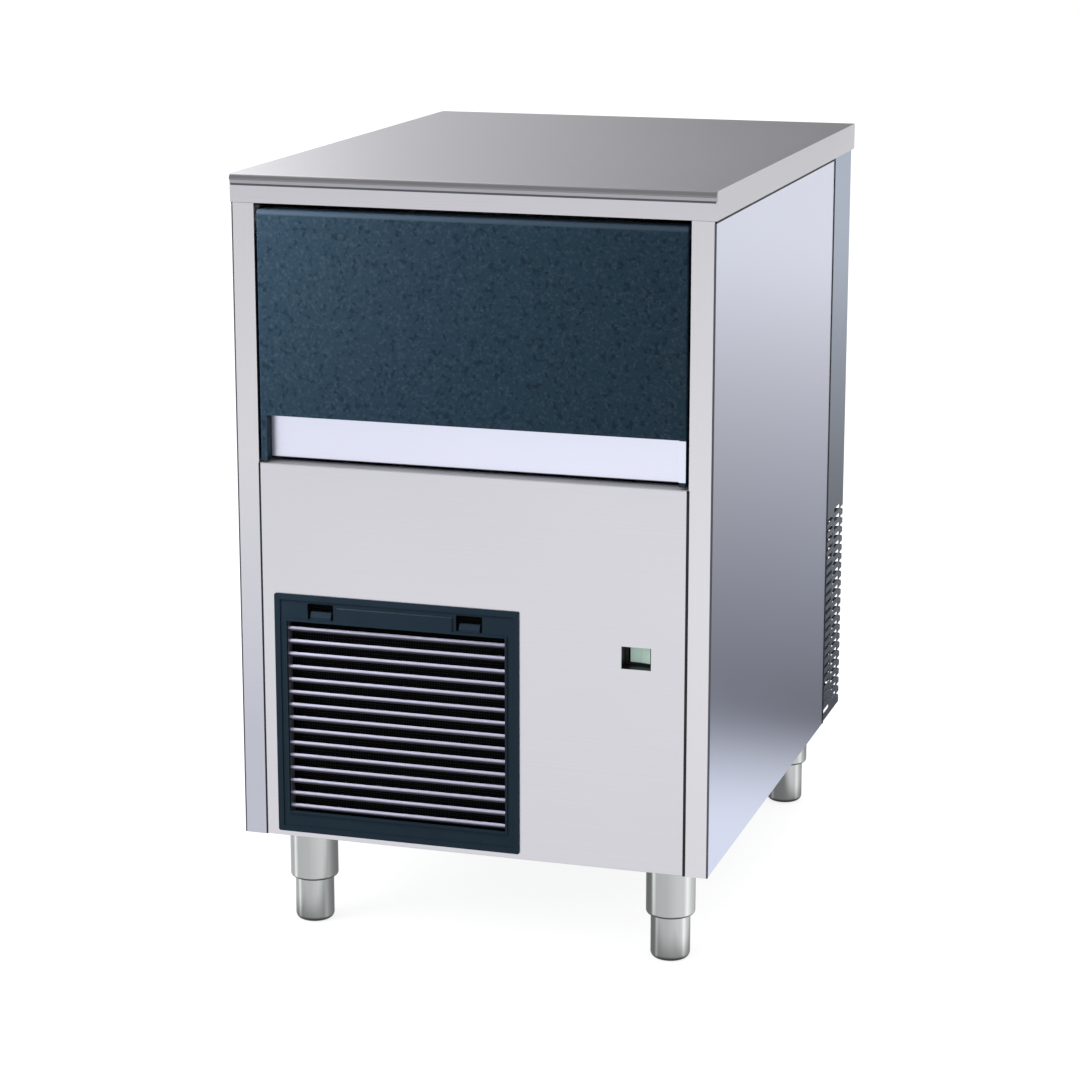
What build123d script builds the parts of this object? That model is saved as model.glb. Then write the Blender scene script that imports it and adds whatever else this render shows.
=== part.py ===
from build123d import *
from math import cos, pi, radians, sin
import os

# Undercounter flake-ice machine with a built-in bin.
# Millimetres, +Z up, front towards -Y, origin on the floor at the centre of the footprint.

os.makedirs("parts", exist_ok=True)


def save(part, name):
    """Label a finished piece and write its STEP file."""
    part.label = name
    export_step(part, f"parts/{name}.step")


# Overall size
WIDTH = 500.0
DEPTH = 660.0
CASE_H = 690.0
LEG_H = 110.0

# Sheets and general clearances
SHEET = 1.2
FRAME_SHEET = 1.5
PLASTIC = 2.5
FIT = 0.3
RUN_FIT = 0.06
BEND = 2.0
THROUGH = 1.0

# Cabinet planes worked out from the overall size
NOSE_PROUD = 2.0
SIDE_STEP = 1.5
REAR_STEP = 2.0
CASE_Z = LEG_H
TOP_Z = LEG_H + CASE_H
FRONT_Y = -DEPTH / 2 + NOSE_PROUD
SIDE_X = WIDTH / 2 - SIDE_STEP
SIDE_IN = SIDE_X - SHEET
REAR_Y = DEPTH / 2 - REAR_STEP
SKIN_Y = FRONT_Y + SHEET

# Top panel and the channel behind its skirt
TOP_H = 28.5
NOSE_R = 5.5
NOSE_LIP = 1.6
SKIRT_Z = TOP_Z - TOP_H
SKIRT_Y = -DEPTH / 2 + NOSE_LIP
SKIRT_IN_Y = SKIRT_Y + SHEET
HEADER_D = 24.0
HEADER_LIFT = 2.0

# Stiles
STILE_W = 22.8
STILE_RETURN = 30.0
STILE_STEP = 0.7
STILE_OUT = SIDE_X - STILE_STEP
STILE_IN = STILE_OUT - STILE_W
STILE_BACK_Y = FRONT_Y + STILE_RETURN + FIT

# Base pan and feet
BASE_TOP = CASE_Z + FRAME_SHEET
BASE_FLANGE = 20.0
BASE_FRONT_FLANGE = 8.0
FOOT_INSET_X = 54.0
FOOT_INSET_Y = 62.0
FOOT_X = WIDTH / 2 - FOOT_INSET_X
FOOT_Y = DEPTH / 2 - FOOT_INSET_Y
FOOT_R = 20.5
FOOT_EDGE_R = 6.5
FOOT_TRAVEL = 40.0
FOOT_HOLD = 15.0
FOOT_STEM_GAP = 1.0
SLEEVE_R = 25.5
SLEEVE_EDGE_R = 3.5
SLEEVE_BORE_R = FOOT_R + FIT
SLEEVE_ROOF = 6.0
SLEEVE_LEN = SLEEVE_ROOF + FOOT_STEM_GAP + FOOT_TRAVEL + FOOT_HOLD

# Machine bay under the bin and behind it
BAY_H = 260.0
BAY_D = 216.0
SHELF_Z = CASE_Z + BAY_H
SHELF_TOP = SHELF_Z + FRAME_SHEET
SHELF_FLANGE = 14.0

# Bin: foam and liner
FOAM_WALL = 32.0
FOAM_FLOOR = 30.5
FOAM_DROP = 35.5
FOAM_X = SIDE_IN - FIT
FOAM_REAR_Y = REAR_Y - BAY_D
FOAM_TOP = SKIRT_Z - FOAM_DROP
LINER_STEP = 1.0
LINER_X = STILE_IN + LINER_STEP
LINER_FRONT_Y = STILE_BACK_Y + PLASTIC
LINER_REAR_Y = FOAM_REAR_Y - FOAM_WALL
LINER_FLOOR = SHELF_TOP + FOAM_FLOOR
LINER_R = 20.0
RIM_Z = FOAM_TOP + PLASTIC

# Door
DOOR_H = 255.0
DOOR_T = 26.0
DOOR_GAP = 2.5
DOOR_HEAD_GAP = 6.5
DOOR_X = STILE_IN - DOOR_GAP
DOOR_Z1 = SKIRT_Z - DOOR_HEAD_GAP
DOOR_Z0 = DOOR_Z1 - DOOR_H
DOOR_WALL = 3.0
DOOR_EDGE_R = 4.0
DOOR_SIDE_R = 1.5
DOOR_BACK_T = 3.0
DOOR_BACK_IN = 1.5
CHEEK_W = 7.0
RECESS_H = 46.5
RECESS_TOP = DOOR_Z0 + RECESS_H
RECESS_D = 13.0
STRIP_LIFT = 2.0
STRIP_Z0 = DOOR_Z0 + STRIP_LIFT
STRIP_LIP = 12.0
PIVOT_DROP = 17.5
PIVOT_Z = SKIRT_Z - PIVOT_DROP
PIVOT_R = 4.0
PIVOT_FIT = 0.08
PIVOT_DEPTH = 12.0
BOSS = 8.0
RIB = 2.0
DOOR_RIBS = 5

# Door rails and slide shoes
DOOR_TRAVEL = 250.0
RAIL_GAP = 0.8
RAIL_SIDE_GAP = 2.3
RAIL_X = STILE_IN + SHEET + RAIL_GAP
RAIL_W = SIDE_IN - RAIL_SIDE_GAP - RAIL_X
RAIL_RUN_OUT = 45.0
RAIL_END_Y = FRONT_Y + DOOR_TRAVEL + RAIL_RUN_OUT
SHOE_L = 22.0
SHOE_SET = 1.0
SHOE_GAP = 0.4
SHOE_R = 3.0

# Lower front panel
PANEL_GAP = 3.0
PANEL_SIDE_GAP = 0.7
PANEL_Z0 = CASE_Z + FIT
PANEL_Z1 = DOOR_Z0 - PANEL_GAP
PANEL_X = STILE_IN - PANEL_SIDE_GAP
PANEL_FOLD = 12.0
PANEL_TOP_FOLD = 20.0
SILL_DROP = 4.5
SILL_Z = PANEL_Z1 - SILL_DROP

# Air grille
GRILLE_W = 263.0
GRILLE_SIDE = 14.0
GRILLE_FOOT = 6.0
GRILLE_HEAD = 1.5
GRILLE_X0 = -STILE_IN + GRILLE_SIDE
GRILLE_X1 = GRILLE_X0 + GRILLE_W
GRILLE_Z0 = CASE_Z + GRILLE_FOOT
GRILLE_Z1 = SHELF_Z + GRILLE_HEAD
GRILLE_H = GRILLE_Z1 - GRILLE_Z0
GRILLE_MID = ((GRILLE_X0 + GRILLE_X1) / 2, (GRILLE_Z0 + GRILLE_Z1) / 2)
GRILLE_PROUD = 1.6
GRILLE_RIM = 6.0
GRILLE_SINK = 1.2
GRILLE_FACE = 2.5
GRILLE_DEPTH = 24.0
GRILLE_CORNER_R = 2.0
CUTOUT_IN = 6.0
CUTOUT_GAP = 1.5
BODY_IN = CUTOUT_IN + CUTOUT_GAP
LOUVRE_LEFT = 13.0
LOUVRE_RIGHT = 15.0
LOUVRE_FOOT = 22.0
LOUVRE_HEAD = 28.5
LOUVRE_RIM = 2.0
LOUVRE_X0 = GRILLE_X0 + LOUVRE_LEFT
LOUVRE_X1 = GRILLE_X1 - LOUVRE_RIGHT
LOUVRE_Z0 = GRILLE_Z0 + LOUVRE_FOOT
LOUVRE_Z1 = GRILLE_Z1 - LOUVRE_HEAD
BLADE_COUNT = 15
BLADE_FOOT = 5.0
BLADE_HEAD = 9.0
BLADE_PITCH = (LOUVRE_Z1 - BLADE_HEAD - LOUVRE_Z0 - BLADE_FOOT) / (BLADE_COUNT - 1)
BLADE_SET = 1.0
BLADE_NOSE_R = 2.5
BLADE_T = 1.6
BLADE_DEPTH = 12.0
BLADE_FALL = 5.5
CLIP_LEFT = 50.0
CLIP_RIGHT = 53.0
CLIP_DROP = 17.0
CLIP_X = (GRILLE_X0 + CLIP_LEFT, GRILLE_X1 - CLIP_RIGHT)
CLIP_Z = GRILLE_Z1 - CLIP_DROP
CLIP_W = 28.0
CLIP_H = 17.0
CLIP_TONGUE_W = 22.0
CLIP_TONGUE_H = 8.0
PAD_GAP = 4.0
PAD_DROP = 11.0
FILTER_T = 6.5
FILTER_GAP = 1.0
FILTER_RIM = 7.0
FILTER_RIB = 3.0

# Switch window
WINDOW_SIDE = 51.5
WINDOW_DROP = 37.0
WINDOW_X = STILE_IN - WINDOW_SIDE
WINDOW_Z = SHELF_Z - WINDOW_DROP
WINDOW_W = 30.5
WINDOW_H = 23.0
SWITCH_WALL = 4.0
SWITCH_BACK = 14.0
ROCKER_SET = 17.0
ROCKER_W = 24.0
ROCKER_H = 17.0
ROCKER_R = 12.5
ROCKER_GAP = 0.5
ROCKER_PIN_SET = 5.0
ROCKER_PIN_R = 1.5
ROCKER_PIN_L = 22.0
ROCKER_TRIM = 1.4
ROCKER_LEFT = 4.0
ROCKER_CREASE = 4.6
ROCKER_RIGHT = 7.4

# Electrical box behind the switch
BOX_SIDE = 3.0
BOX_W = 94.0
BOX_SET = 28.0
BOX_D = 100.0
BOX_H = 180.0
BOX_X1 = STILE_IN - BOX_SIDE
BOX_X0 = BOX_X1 - BOX_W
BOX_Y0 = FRONT_Y + BOX_SET
BOX_Y1 = BOX_Y0 + BOX_D
BOX_Z0 = SHELF_Z - BOX_H
BOX_COVER_FOLD = 8.0

# Condenser
COIL_INSET = 6.0
COIL_SET = 38.0
COIL_D = 42.0
COIL_HEAD_GAP = 6.0
COIL_X0 = GRILLE_X0 + COIL_INSET
COIL_X1 = GRILLE_X1 - COIL_INSET
COIL_Y0 = FRONT_Y + COIL_SET
COIL_Z1 = SHELF_Z - COIL_HEAD_GAP
FIN_COUNT = 22
FIN_T = 0.8
FIN_LIFT = 8.5
END_PLATE_T = 1.5
TUBE_R = 4.8
TUBE_ROWS = 6
TUBE_LIFT = 22.5
TUBE_DROP = 20.0
TUBE_Z0 = BASE_TOP + TUBE_LIFT
TUBE_PITCH = (COIL_Z1 - TUBE_DROP - TUBE_Z0) / (TUBE_ROWS - 1)
TUBE_RETURN = 10.0
TUBE_RETURN_R = 8.5
TUBE_END = 4.0

# Fan
HOOD_D = 28.0
FAN_R = 97.0
FAN_HUB_R = 22.0
FAN_HUB_L = 26.0
FAN_BLADES = 5
FAN_BLADE_T = 1.6
FAN_ROOT_W = 38.0
FAN_TIP_W = 57.0
FAN_ROOT_CAMBER = 4.0
FAN_TIP_CAMBER = 5.0
FAN_ROOT_TURN = radians(28)
FAN_TIP_TURN = radians(18)
FAN_RING_GAP = 6.0
FAN_RING_L = 16.0
FAN_SET = 6.0
FAN_X = GRILLE_MID[0]
FAN_Z = GRILLE_MID[1]
FAN_MOTOR_R = 40.0
FAN_MOTOR_L = 52.0
FAN_MOTOR_EDGE_R = 8.0
FAN_SHAFT_R = 4.0
STRAP_H = 18.0
STRAP_T = 2.0
STRAP_REACH = 34.7
STRAP_SIDE = 12.0
STRAP_DZ = 24.0

# Flake-ice unit and its drive
UNIT_IN = 143.5
UNIT_BACK = 113.0
UNIT_X = SIDE_X - UNIT_IN
UNIT_Y = REAR_Y - UNIT_BACK
GEAR_LIFT = 140.0
GEAR_H = 60.0
GEAR_DY = 58.0
GEAR_LEFT = 193.0
GEAR_RIGHT = 65.0
GEAR_TOP = CASE_Z + GEAR_LIFT
GEAR_Z = GEAR_TOP - GEAR_H
GEAR_X0 = UNIT_X - GEAR_LEFT
GEAR_X1 = UNIT_X + GEAR_RIGHT
GEAR_SEAM = 3.0
GEAR_SEAM_H = 8.0
BRACKET_SIDE = 4.0
BRACKET_T = 3.0
BRACKET_FOOT = 24.0
MOTOR_OFFSET = 131.0
MOTOR_X = UNIT_X - MOTOR_OFFSET
MOTOR_R = 50.0
MOTOR_H = 128.0
BARREL_DROP = 96.0
BARREL_TOP = FOAM_TOP - BARREL_DROP
BARREL_R = 40.0
BARREL_WALL = 5.0
BARREL_FLANGE_R = 60.0
BARREL_FLANGE_T = 12.0
FOAM_SHELL_R = 70.0
AUGER_CORE_R = 24.0
AUGER_GAP = 0.5
AUGER_TURNS = 7
AUGER_FLIGHT_T = 5.0
AUGER_LIFT = 22.0
AUGER_BOTTOM = GEAR_TOP + AUGER_LIFT
AUGER_TOP = BARREL_TOP - 16.0
FLIGHT_LEAD_IN = 12.0
FLIGHT_RUN_OUT = 18.0
AUGER_PITCH = (AUGER_TOP - FLIGHT_RUN_OUT - AUGER_BOTTOM - FLIGHT_LEAD_IN) / AUGER_TURNS
JOURNAL_R = 13.0
JOURNAL_SET = 15.0
HEAD_H = 24.0
HEAD_HOLES = 8
HEAD_HOLE_R = 7.5
HEAD_PCD_R = 27.0
BREAKER_H = 22.0
BREAKER_GAP = 2.0
BREAKER_HUB = 8.0
BREAKER_ARMS = 4
BREAKER_ARM_W = 9.0
SPOUT_R = 56.0
SPOUT_HEAD = 2.0
CHUTE_W = 92.0
CHUTE_H = 64.0
CHUTE_LIFT = 44.0
CHUTE_Z = BARREL_TOP + CHUTE_LIFT
CHUTE_OUT = 14.0
CHUTE_IN = 8.0
CHUTE_FLANGE = 10.0
SPOUT_TOP = CHUTE_Z + CHUTE_H / 2 + SPOUT_HEAD
STUB_R = 4.5
STUB_OUT = 6.0

# Compressor
COMP_IN = 133.5
COMP_BACK = 20.0
COMP_LIFT = 19.5
COMP_X = -SIDE_X + COMP_IN
COMP_Y = (FRONT_Y + REAR_Y) / 2 + COMP_BACK
COMP_Z0 = BASE_TOP + COMP_LIFT
COMP_R = 82.0
COMP_H = 172.0
COMP_DOME_R = 34.0
COMP_SEAM = 3.0
COMP_SEAM_H = 5.0
COMP_FEET_X = 80.0
COMP_FEET_Y = 62.0
COMP_PLATE_EDGE = 17.0
COMP_PLATE_T = 3.0
COMP_PAD_W = 58.0
COMP_PAD_H = 62.0
COMP_PAD_OUT = 14.0
MOUNT_R = 13.0
MOUNT_HOLE_R = 5.0
MOUNT_PIN_H = 8.0

# Float tank
TANK_IN = 98.5
TANK_GAP = 38.0
TANK_W = 100.0
TANK_D = 90.0
TANK_H = 80.0
TANK_X0 = -SIDE_X + TANK_IN
TANK_X1 = TANK_X0 + TANK_W
TANK_Y0 = FOAM_REAR_Y + TANK_GAP
TANK_Y1 = TANK_Y0 + TANK_D
TANK_Z1 = BARREL_TOP
TANK_Z0 = TANK_Z1 - TANK_H
TANK_R = 8.0
TANK_ARM_X = 34.0
TANK_ARM_H = 44.0
TANK_ARM_T = 4.0
TANK_PLATE_W = 86.0
TANK_PLATE_H = 50.0
TANK_PLATE_Z = TANK_Z0 + 30.0

# Hoses, niche at the rear and its fittings
HOSE_R = 6.0
DRAIN_R = 11.0
LINE_R = 4.0
CAPILLARY_R = 3.0
NICHE_SIDE = 22.5
NICHE_LIFT = 30.5
NICHE_W = 118.0
NICHE_H = 127.5
NICHE_DEPTH = 27.0
NICHE_LIP = 8.0
NICHE_X1 = SIDE_X - NICHE_SIDE
NICHE_X0 = NICHE_X1 - NICHE_W
NICHE_Z0 = CASE_Z + NICHE_LIFT
NICHE_Z1 = NICHE_Z0 + NICHE_H
DRAIN_X = NICHE_X1 - 26.0
DRAIN_Y = LINER_REAR_Y - 40.0
INLET_Z = NICHE_Z1 - 33.0
INLET_THREAD_R = 13.2
INLET_NUT_R = 17.0
INLET_SHANK_R = 10.0
INLET_SHANK_L = 8.0
INLET_BORE_R = 4.0
SPIGOT_Z = NICHE_Z0 + 21.5
SPIGOT_R = 10.0
SPIGOT_COLLAR = 5.0
GLAND_X = NICHE_X0 + 32.0
GLAND_Z = NICHE_Z0 + 49.5
GLAND_NUT_R = 12.0
GLAND_CAP_R = 10.5
GLAND_CAP_L = 19.0
GLAND_CAP_EDGE_R = 4.0
GLAND_SHANK_R = 8.0
GLAND_SHANK_L = 6.0
GLAND_BORE_R = 4.0

# Side and rear casing
CASING_D = 100.0
CASING_SEAM = 1.5
CASING_STEP = 0.9
CASING_DROP = 12.0
CASING_R = 4.0
SIDE_REAR_Y = REAR_Y - CASING_D
SIDE_FOLD = 10.0
SIDE_FRONT_FOLD = 3.0
SIDE_SEAM = 0.2
CASING_X = SIDE_X - CASING_STEP
CASING_FRONT_Y = SIDE_REAR_Y + CASING_SEAM
CASING_TOP = TOP_Z - CASING_DROP
SLOT_H = 5.4
SLOT_PITCH = 10.9
SLOT_ROWS = 22
SLOT_WEB = 5.0
SLOT_EDGE = 3.5
SLOT_Z = CASE_Z + 10.5
CORNER_SLOT = 17.0
SIDE_SLOT_COLUMNS = 2
SIDE_SLOT_COLUMN = (CASING_D - CASING_SEAM - CORNER_SLOT - SLOT_EDGE) / SIDE_SLOT_COLUMNS
REAR_SLOT_COLUMNS = 4
REAR_SLOT_X0 = -CASING_X + CORNER_SLOT + SLOT_WEB
REAR_SLOT_COLUMN = (NICHE_X0 - NICHE_LIP - SLOT_WEB - REAR_SLOT_X0) / REAR_SLOT_COLUMNS


# Top panel: one folded lid with a rounded nose along its front edge
with BuildPart() as top_panel:
    with BuildSketch(Plane.YZ):
        with BuildLine():
            Line((DEPTH / 2, SKIRT_Z), (DEPTH / 2, TOP_Z))
            Line((DEPTH / 2, TOP_Z), (-DEPTH / 2 + NOSE_R, TOP_Z))
            RadiusArc((-DEPTH / 2 + NOSE_R, TOP_Z), (-DEPTH / 2, TOP_Z - NOSE_R), -NOSE_R)
            Line((-DEPTH / 2, TOP_Z - NOSE_R), (SKIRT_Y, TOP_Z - NOSE_R - NOSE_LIP / 2))
            Line((SKIRT_Y, TOP_Z - NOSE_R - NOSE_LIP / 2), (SKIRT_Y, SKIRT_Z))
            Line((SKIRT_Y, SKIRT_Z), (DEPTH / 2, SKIRT_Z))
        make_face()
    extrude(amount=WIDTH / 2, both=True)
    with BuildSketch(Plane.XY.offset(SKIRT_Z)):
        with Locations((0, (SKIRT_IN_Y + DEPTH / 2 - SHEET) / 2)):
            Rectangle(WIDTH - 2 * SHEET, DEPTH / 2 - SHEET - SKIRT_IN_Y)
    extrude(amount=TOP_H - SHEET, mode=Mode.SUBTRACT)
save(top_panel.part, "top_panel")

# Upper crossmember: a channel behind the skirt that carries the front of the top
with BuildPart() as upper_crossmember:
    header_z0 = SKIRT_Z + HEADER_LIFT
    header_z1 = TOP_Z - SHEET
    header_y0 = SKIRT_IN_Y + FIT
    with BuildSketch(Plane.YZ):
        with Locations((header_y0 + HEADER_D / 2, (header_z0 + header_z1) / 2)):
            Rectangle(HEADER_D, header_z1 - header_z0)
        with Locations((header_y0 + SHEET + HEADER_D / 2, (header_z0 + header_z1) / 2)):
            Rectangle(HEADER_D, header_z1 - header_z0 - 2 * SHEET, mode=Mode.SUBTRACT)
    extrude(amount=SIDE_IN - SIDE_FOLD - FIT, both=True)
save(upper_crossmember.part, "upper_crossmember")

# Stiles: front face with a return beside the door, cut away above the door rail
for side, hand in ((-1, "left"), (1, "right")):
    with BuildPart() as stile:
        with BuildSketch(Plane.XY.offset(CASE_Z)):
            with BuildLine():
                Polyline(
                    (side * STILE_OUT, FRONT_Y + SHEET),
                    (side * STILE_OUT, FRONT_Y),
                    (side * STILE_IN, FRONT_Y),
                    (side * STILE_IN, FRONT_Y + STILE_RETURN),
                    (side * (STILE_IN + SHEET), FRONT_Y + STILE_RETURN),
                    (side * (STILE_IN + SHEET), FRONT_Y + SHEET),
                    close=True,
                )
            make_face()
        extrude(amount=SKIRT_Z - FIT - CASE_Z)
        with BuildSketch(Plane.XY.offset(FOAM_TOP)):
            with Locations((side * (STILE_IN + SHEET), FRONT_Y + SHEET + STILE_RETURN / 2)):
                Rectangle(4 * SHEET, STILE_RETURN)
        extrude(amount=SKIRT_Z - FOAM_TOP, mode=Mode.SUBTRACT)
        corner = stile.edges().filter_by(Axis.Z).sort_by(Axis.Y).group_by(Axis.Y)[0]
        fillet(corner, radius=SHEET * 0.6)
    save(stile.part, f"{hand}_stile")

# Side panels: folded at the front, rear and top
for side, hand in ((-1, "left"), (1, "right")):
    with BuildPart() as side_panel:
        side_y0 = SKIN_Y + SIDE_SEAM
        side_top = TOP_Z - SHEET
        with BuildSketch(Plane.XY.offset(CASE_Z)) as side_outline:
            with BuildLine():
                Polyline(
                    (side * (SIDE_X - SIDE_FRONT_FOLD), side_y0),
                    (side * SIDE_X, side_y0),
                    (side * SIDE_X, SIDE_REAR_Y),
                    (side * (SIDE_X - SIDE_FOLD), SIDE_REAR_Y),
                    (side * (SIDE_X - SIDE_FOLD), SIDE_REAR_Y - SHEET),
                    (side * SIDE_IN, SIDE_REAR_Y - SHEET),
                    (side * SIDE_IN, side_y0 + SHEET),
                    (side * (SIDE_X - SIDE_FRONT_FOLD), side_y0 + SHEET),
                    close=True,
                )
            make_face()
            fillet(side_outline.vertices().group_by(Axis.X)[-1 if side > 0 else 0], radius=BEND)
        extrude(amount=side_top - CASE_Z)
        with BuildSketch(Plane.XY.offset(side_top)):
            with Locations((side * (SIDE_X - SIDE_FOLD / 2), (side_y0 + SIDE_REAR_Y) / 2)):
                Rectangle(SIDE_FOLD, SIDE_REAR_Y - side_y0 - 2 * BEND)
        extrude(amount=-SHEET)
    save(side_panel.part, f"{hand}_side_panel")

# Rear casing: wraps both rear corners, air slots staggered from column to column
with BuildPart() as rear_casing:
    casing_mid = (CASING_FRONT_Y + REAR_Y) / 2
    casing_len = REAR_Y - CASING_FRONT_Y
    with BuildSketch(Plane.XY.offset(CASE_Z)):
        with Locations((0, casing_mid)):
            Rectangle(2 * CASING_X, casing_len)
        fillet(vertices().sort_by(Axis.Y)[-2:], CASING_R)
        with Locations((0, casing_mid - SHEET)):
            Rectangle(2 * (CASING_X - SHEET), casing_len, mode=Mode.SUBTRACT)
    extrude(amount=CASING_TOP - CASE_Z)
    rows = [SLOT_Z + SLOT_PITCH * row for row in range(SLOT_ROWS)]
    with BuildSketch(Plane.YZ):
        for i in range(SIDE_SLOT_COLUMNS):
            y = REAR_Y - CORNER_SLOT - SIDE_SLOT_COLUMN * (i + 0.5)
            shift = SLOT_PITCH / 2 * ((i + 1) % 2)
            with Locations(*[(y, z + shift) for z in rows]):
                Rectangle(SIDE_SLOT_COLUMN - SLOT_WEB, SLOT_H)
    extrude(amount=CASING_X + THROUGH, both=True, mode=Mode.SUBTRACT)
    with BuildSketch(Plane.XZ.offset(-REAR_Y - THROUGH)):
        with Locations(*[(side * CASING_X, z) for side in (-1, 1) for z in rows]):
            Rectangle(2 * CORNER_SLOT, SLOT_H)
    extrude(amount=CORNER_SLOT, mode=Mode.SUBTRACT)
    with BuildSketch(Plane.XZ.offset(-REAR_Y - THROUGH)):
        for i in range(REAR_SLOT_COLUMNS):
            x = REAR_SLOT_X0 + REAR_SLOT_COLUMN * (i + 0.5)
            shift = SLOT_PITCH / 2 * ((i + 1) % 2)
            with Locations(*[(x, z + shift) for z in rows]):
                Rectangle(REAR_SLOT_COLUMN - SLOT_WEB, SLOT_H)
        with Locations(((NICHE_X0 + NICHE_X1) / 2, (NICHE_Z0 + NICHE_Z1) / 2)):
            Rectangle(NICHE_W, NICHE_H)
    extrude(amount=2 * THROUGH + SHEET, mode=Mode.SUBTRACT)
save(rear_casing.part, "rear_casing")

# Connection plate: a tray sunk into the rear casing for the water, drain and cable fittings
NICHE_MID = ((NICHE_X0 + NICHE_X1) / 2, (NICHE_Z0 + NICHE_Z1) / 2)
PLATE_IN_Y = REAR_Y - SHEET - NICHE_DEPTH
PLATE_OUT_Y = PLATE_IN_Y + SHEET
HOLE_FIT = 0.2
with BuildPart() as connection_plate:
    with BuildSketch(Plane.XZ.offset(-(REAR_Y - SHEET))):
        with Locations(NICHE_MID):
            Rectangle(NICHE_W + 2 * NICHE_LIP, NICHE_H + 2 * NICHE_LIP)
    extrude(amount=SHEET)
    with BuildSketch(Plane.XZ.offset(-(REAR_Y - SHEET))):
        with Locations(NICHE_MID):
            Rectangle(NICHE_W + 2 * SHEET, NICHE_H + 2 * SHEET)
    extrude(amount=NICHE_DEPTH)
    with BuildSketch(Plane.XZ.offset(-(REAR_Y - SHEET))):
        with Locations(NICHE_MID):
            Rectangle(NICHE_W, NICHE_H)
    extrude(amount=NICHE_DEPTH - SHEET, mode=Mode.SUBTRACT)
    with BuildSketch(Plane.XZ.offset(-(REAR_Y - SHEET))):
        with Locations((DRAIN_X, INLET_Z)):
            Circle(INLET_SHANK_R + HOLE_FIT)
        with Locations((DRAIN_X, SPIGOT_Z)):
            Circle(SPIGOT_R + HOLE_FIT)
        with Locations((GLAND_X, GLAND_Z)):
            Circle(GLAND_SHANK_R + HOLE_FIT)
    extrude(amount=NICHE_DEPTH + THROUGH, mode=Mode.SUBTRACT)
save(connection_plate.part, "connection_plate")

# Base pan: floor of the cabinet with turned-up edges
PAN_X = SIDE_IN - FIT
PAN_STEPS = (
    (SKIN_Y + PANEL_FOLD + FIT, STILE_BACK_Y, STILE_IN - FIT),
    (STILE_BACK_Y, SIDE_REAR_Y - SHEET - FIT, PAN_X),
    (SIDE_REAR_Y - SHEET - FIT, REAR_Y - SHEET - FIT, SIDE_X - SIDE_FOLD - FIT),
)
with BuildPart() as base_pan:
    with BuildSketch(Plane.XY.offset(CASE_Z)) as pan_outline:
        for y0, y1, half_w in PAN_STEPS:
            with Locations((0, (y0 + y1) / 2)):
                Rectangle(2 * half_w, y1 - y0)
    extrude(amount=BASE_FLANGE)
    with BuildSketch(Plane.XY.offset(BASE_TOP)):
        offset(pan_outline.sketch.face(), amount=-FRAME_SHEET)
    extrude(amount=BASE_FLANGE, mode=Mode.SUBTRACT)
    with BuildSketch(Plane.XY.offset(CASE_Z + BASE_FRONT_FLANGE)):
        with Locations((0, FRONT_Y + STILE_RETURN / 2)):
            Rectangle(2 * PAN_X, STILE_RETURN + 2 * FRAME_SHEET + FIT)
    extrude(amount=BASE_FLANGE, mode=Mode.SUBTRACT)
save(base_pan.part, "base_pan")

# Foot sleeves under the base pan and the screw feet inside them
FOOT_PLACES = {
    "front_left": (-FOOT_X, -FOOT_Y),
    "front_right": (FOOT_X, -FOOT_Y),
    "rear_left": (-FOOT_X, FOOT_Y),
    "rear_right": (FOOT_X, FOOT_Y),
}
SLEEVE_Z = CASE_Z - SLEEVE_LEN
with BuildPart() as foot_sleeves:
    with BuildSketch(Plane.XY.offset(SLEEVE_Z)):
        with Locations(*FOOT_PLACES.values()):
            Circle(SLEEVE_R)
    extrude(amount=SLEEVE_LEN)
    fillet(foot_sleeves.edges().filter_by(GeomType.CIRCLE).group_by(Axis.Z)[0], radius=SLEEVE_EDGE_R)
    with BuildSketch(Plane.XY.offset(SLEEVE_Z)):
        with Locations(*FOOT_PLACES.values()):
            Circle(SLEEVE_BORE_R)
    extrude(amount=SLEEVE_LEN - SLEEVE_ROOF, mode=Mode.SUBTRACT)
save(foot_sleeves.part, "foot_sleeves")

for place, (x, y) in FOOT_PLACES.items():
    with BuildPart() as screw_foot:
        with BuildSketch(Plane.XY):
            with Locations((x, y)):
                Circle(FOOT_R)
        extrude(amount=CASE_Z - SLEEVE_ROOF - FOOT_STEM_GAP)
        fillet(screw_foot.edges().filter_by(GeomType.CIRCLE).group_by(Axis.Z)[0], radius=FOOT_EDGE_R)
    save(screw_foot.part, f"{place}_foot")

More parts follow.
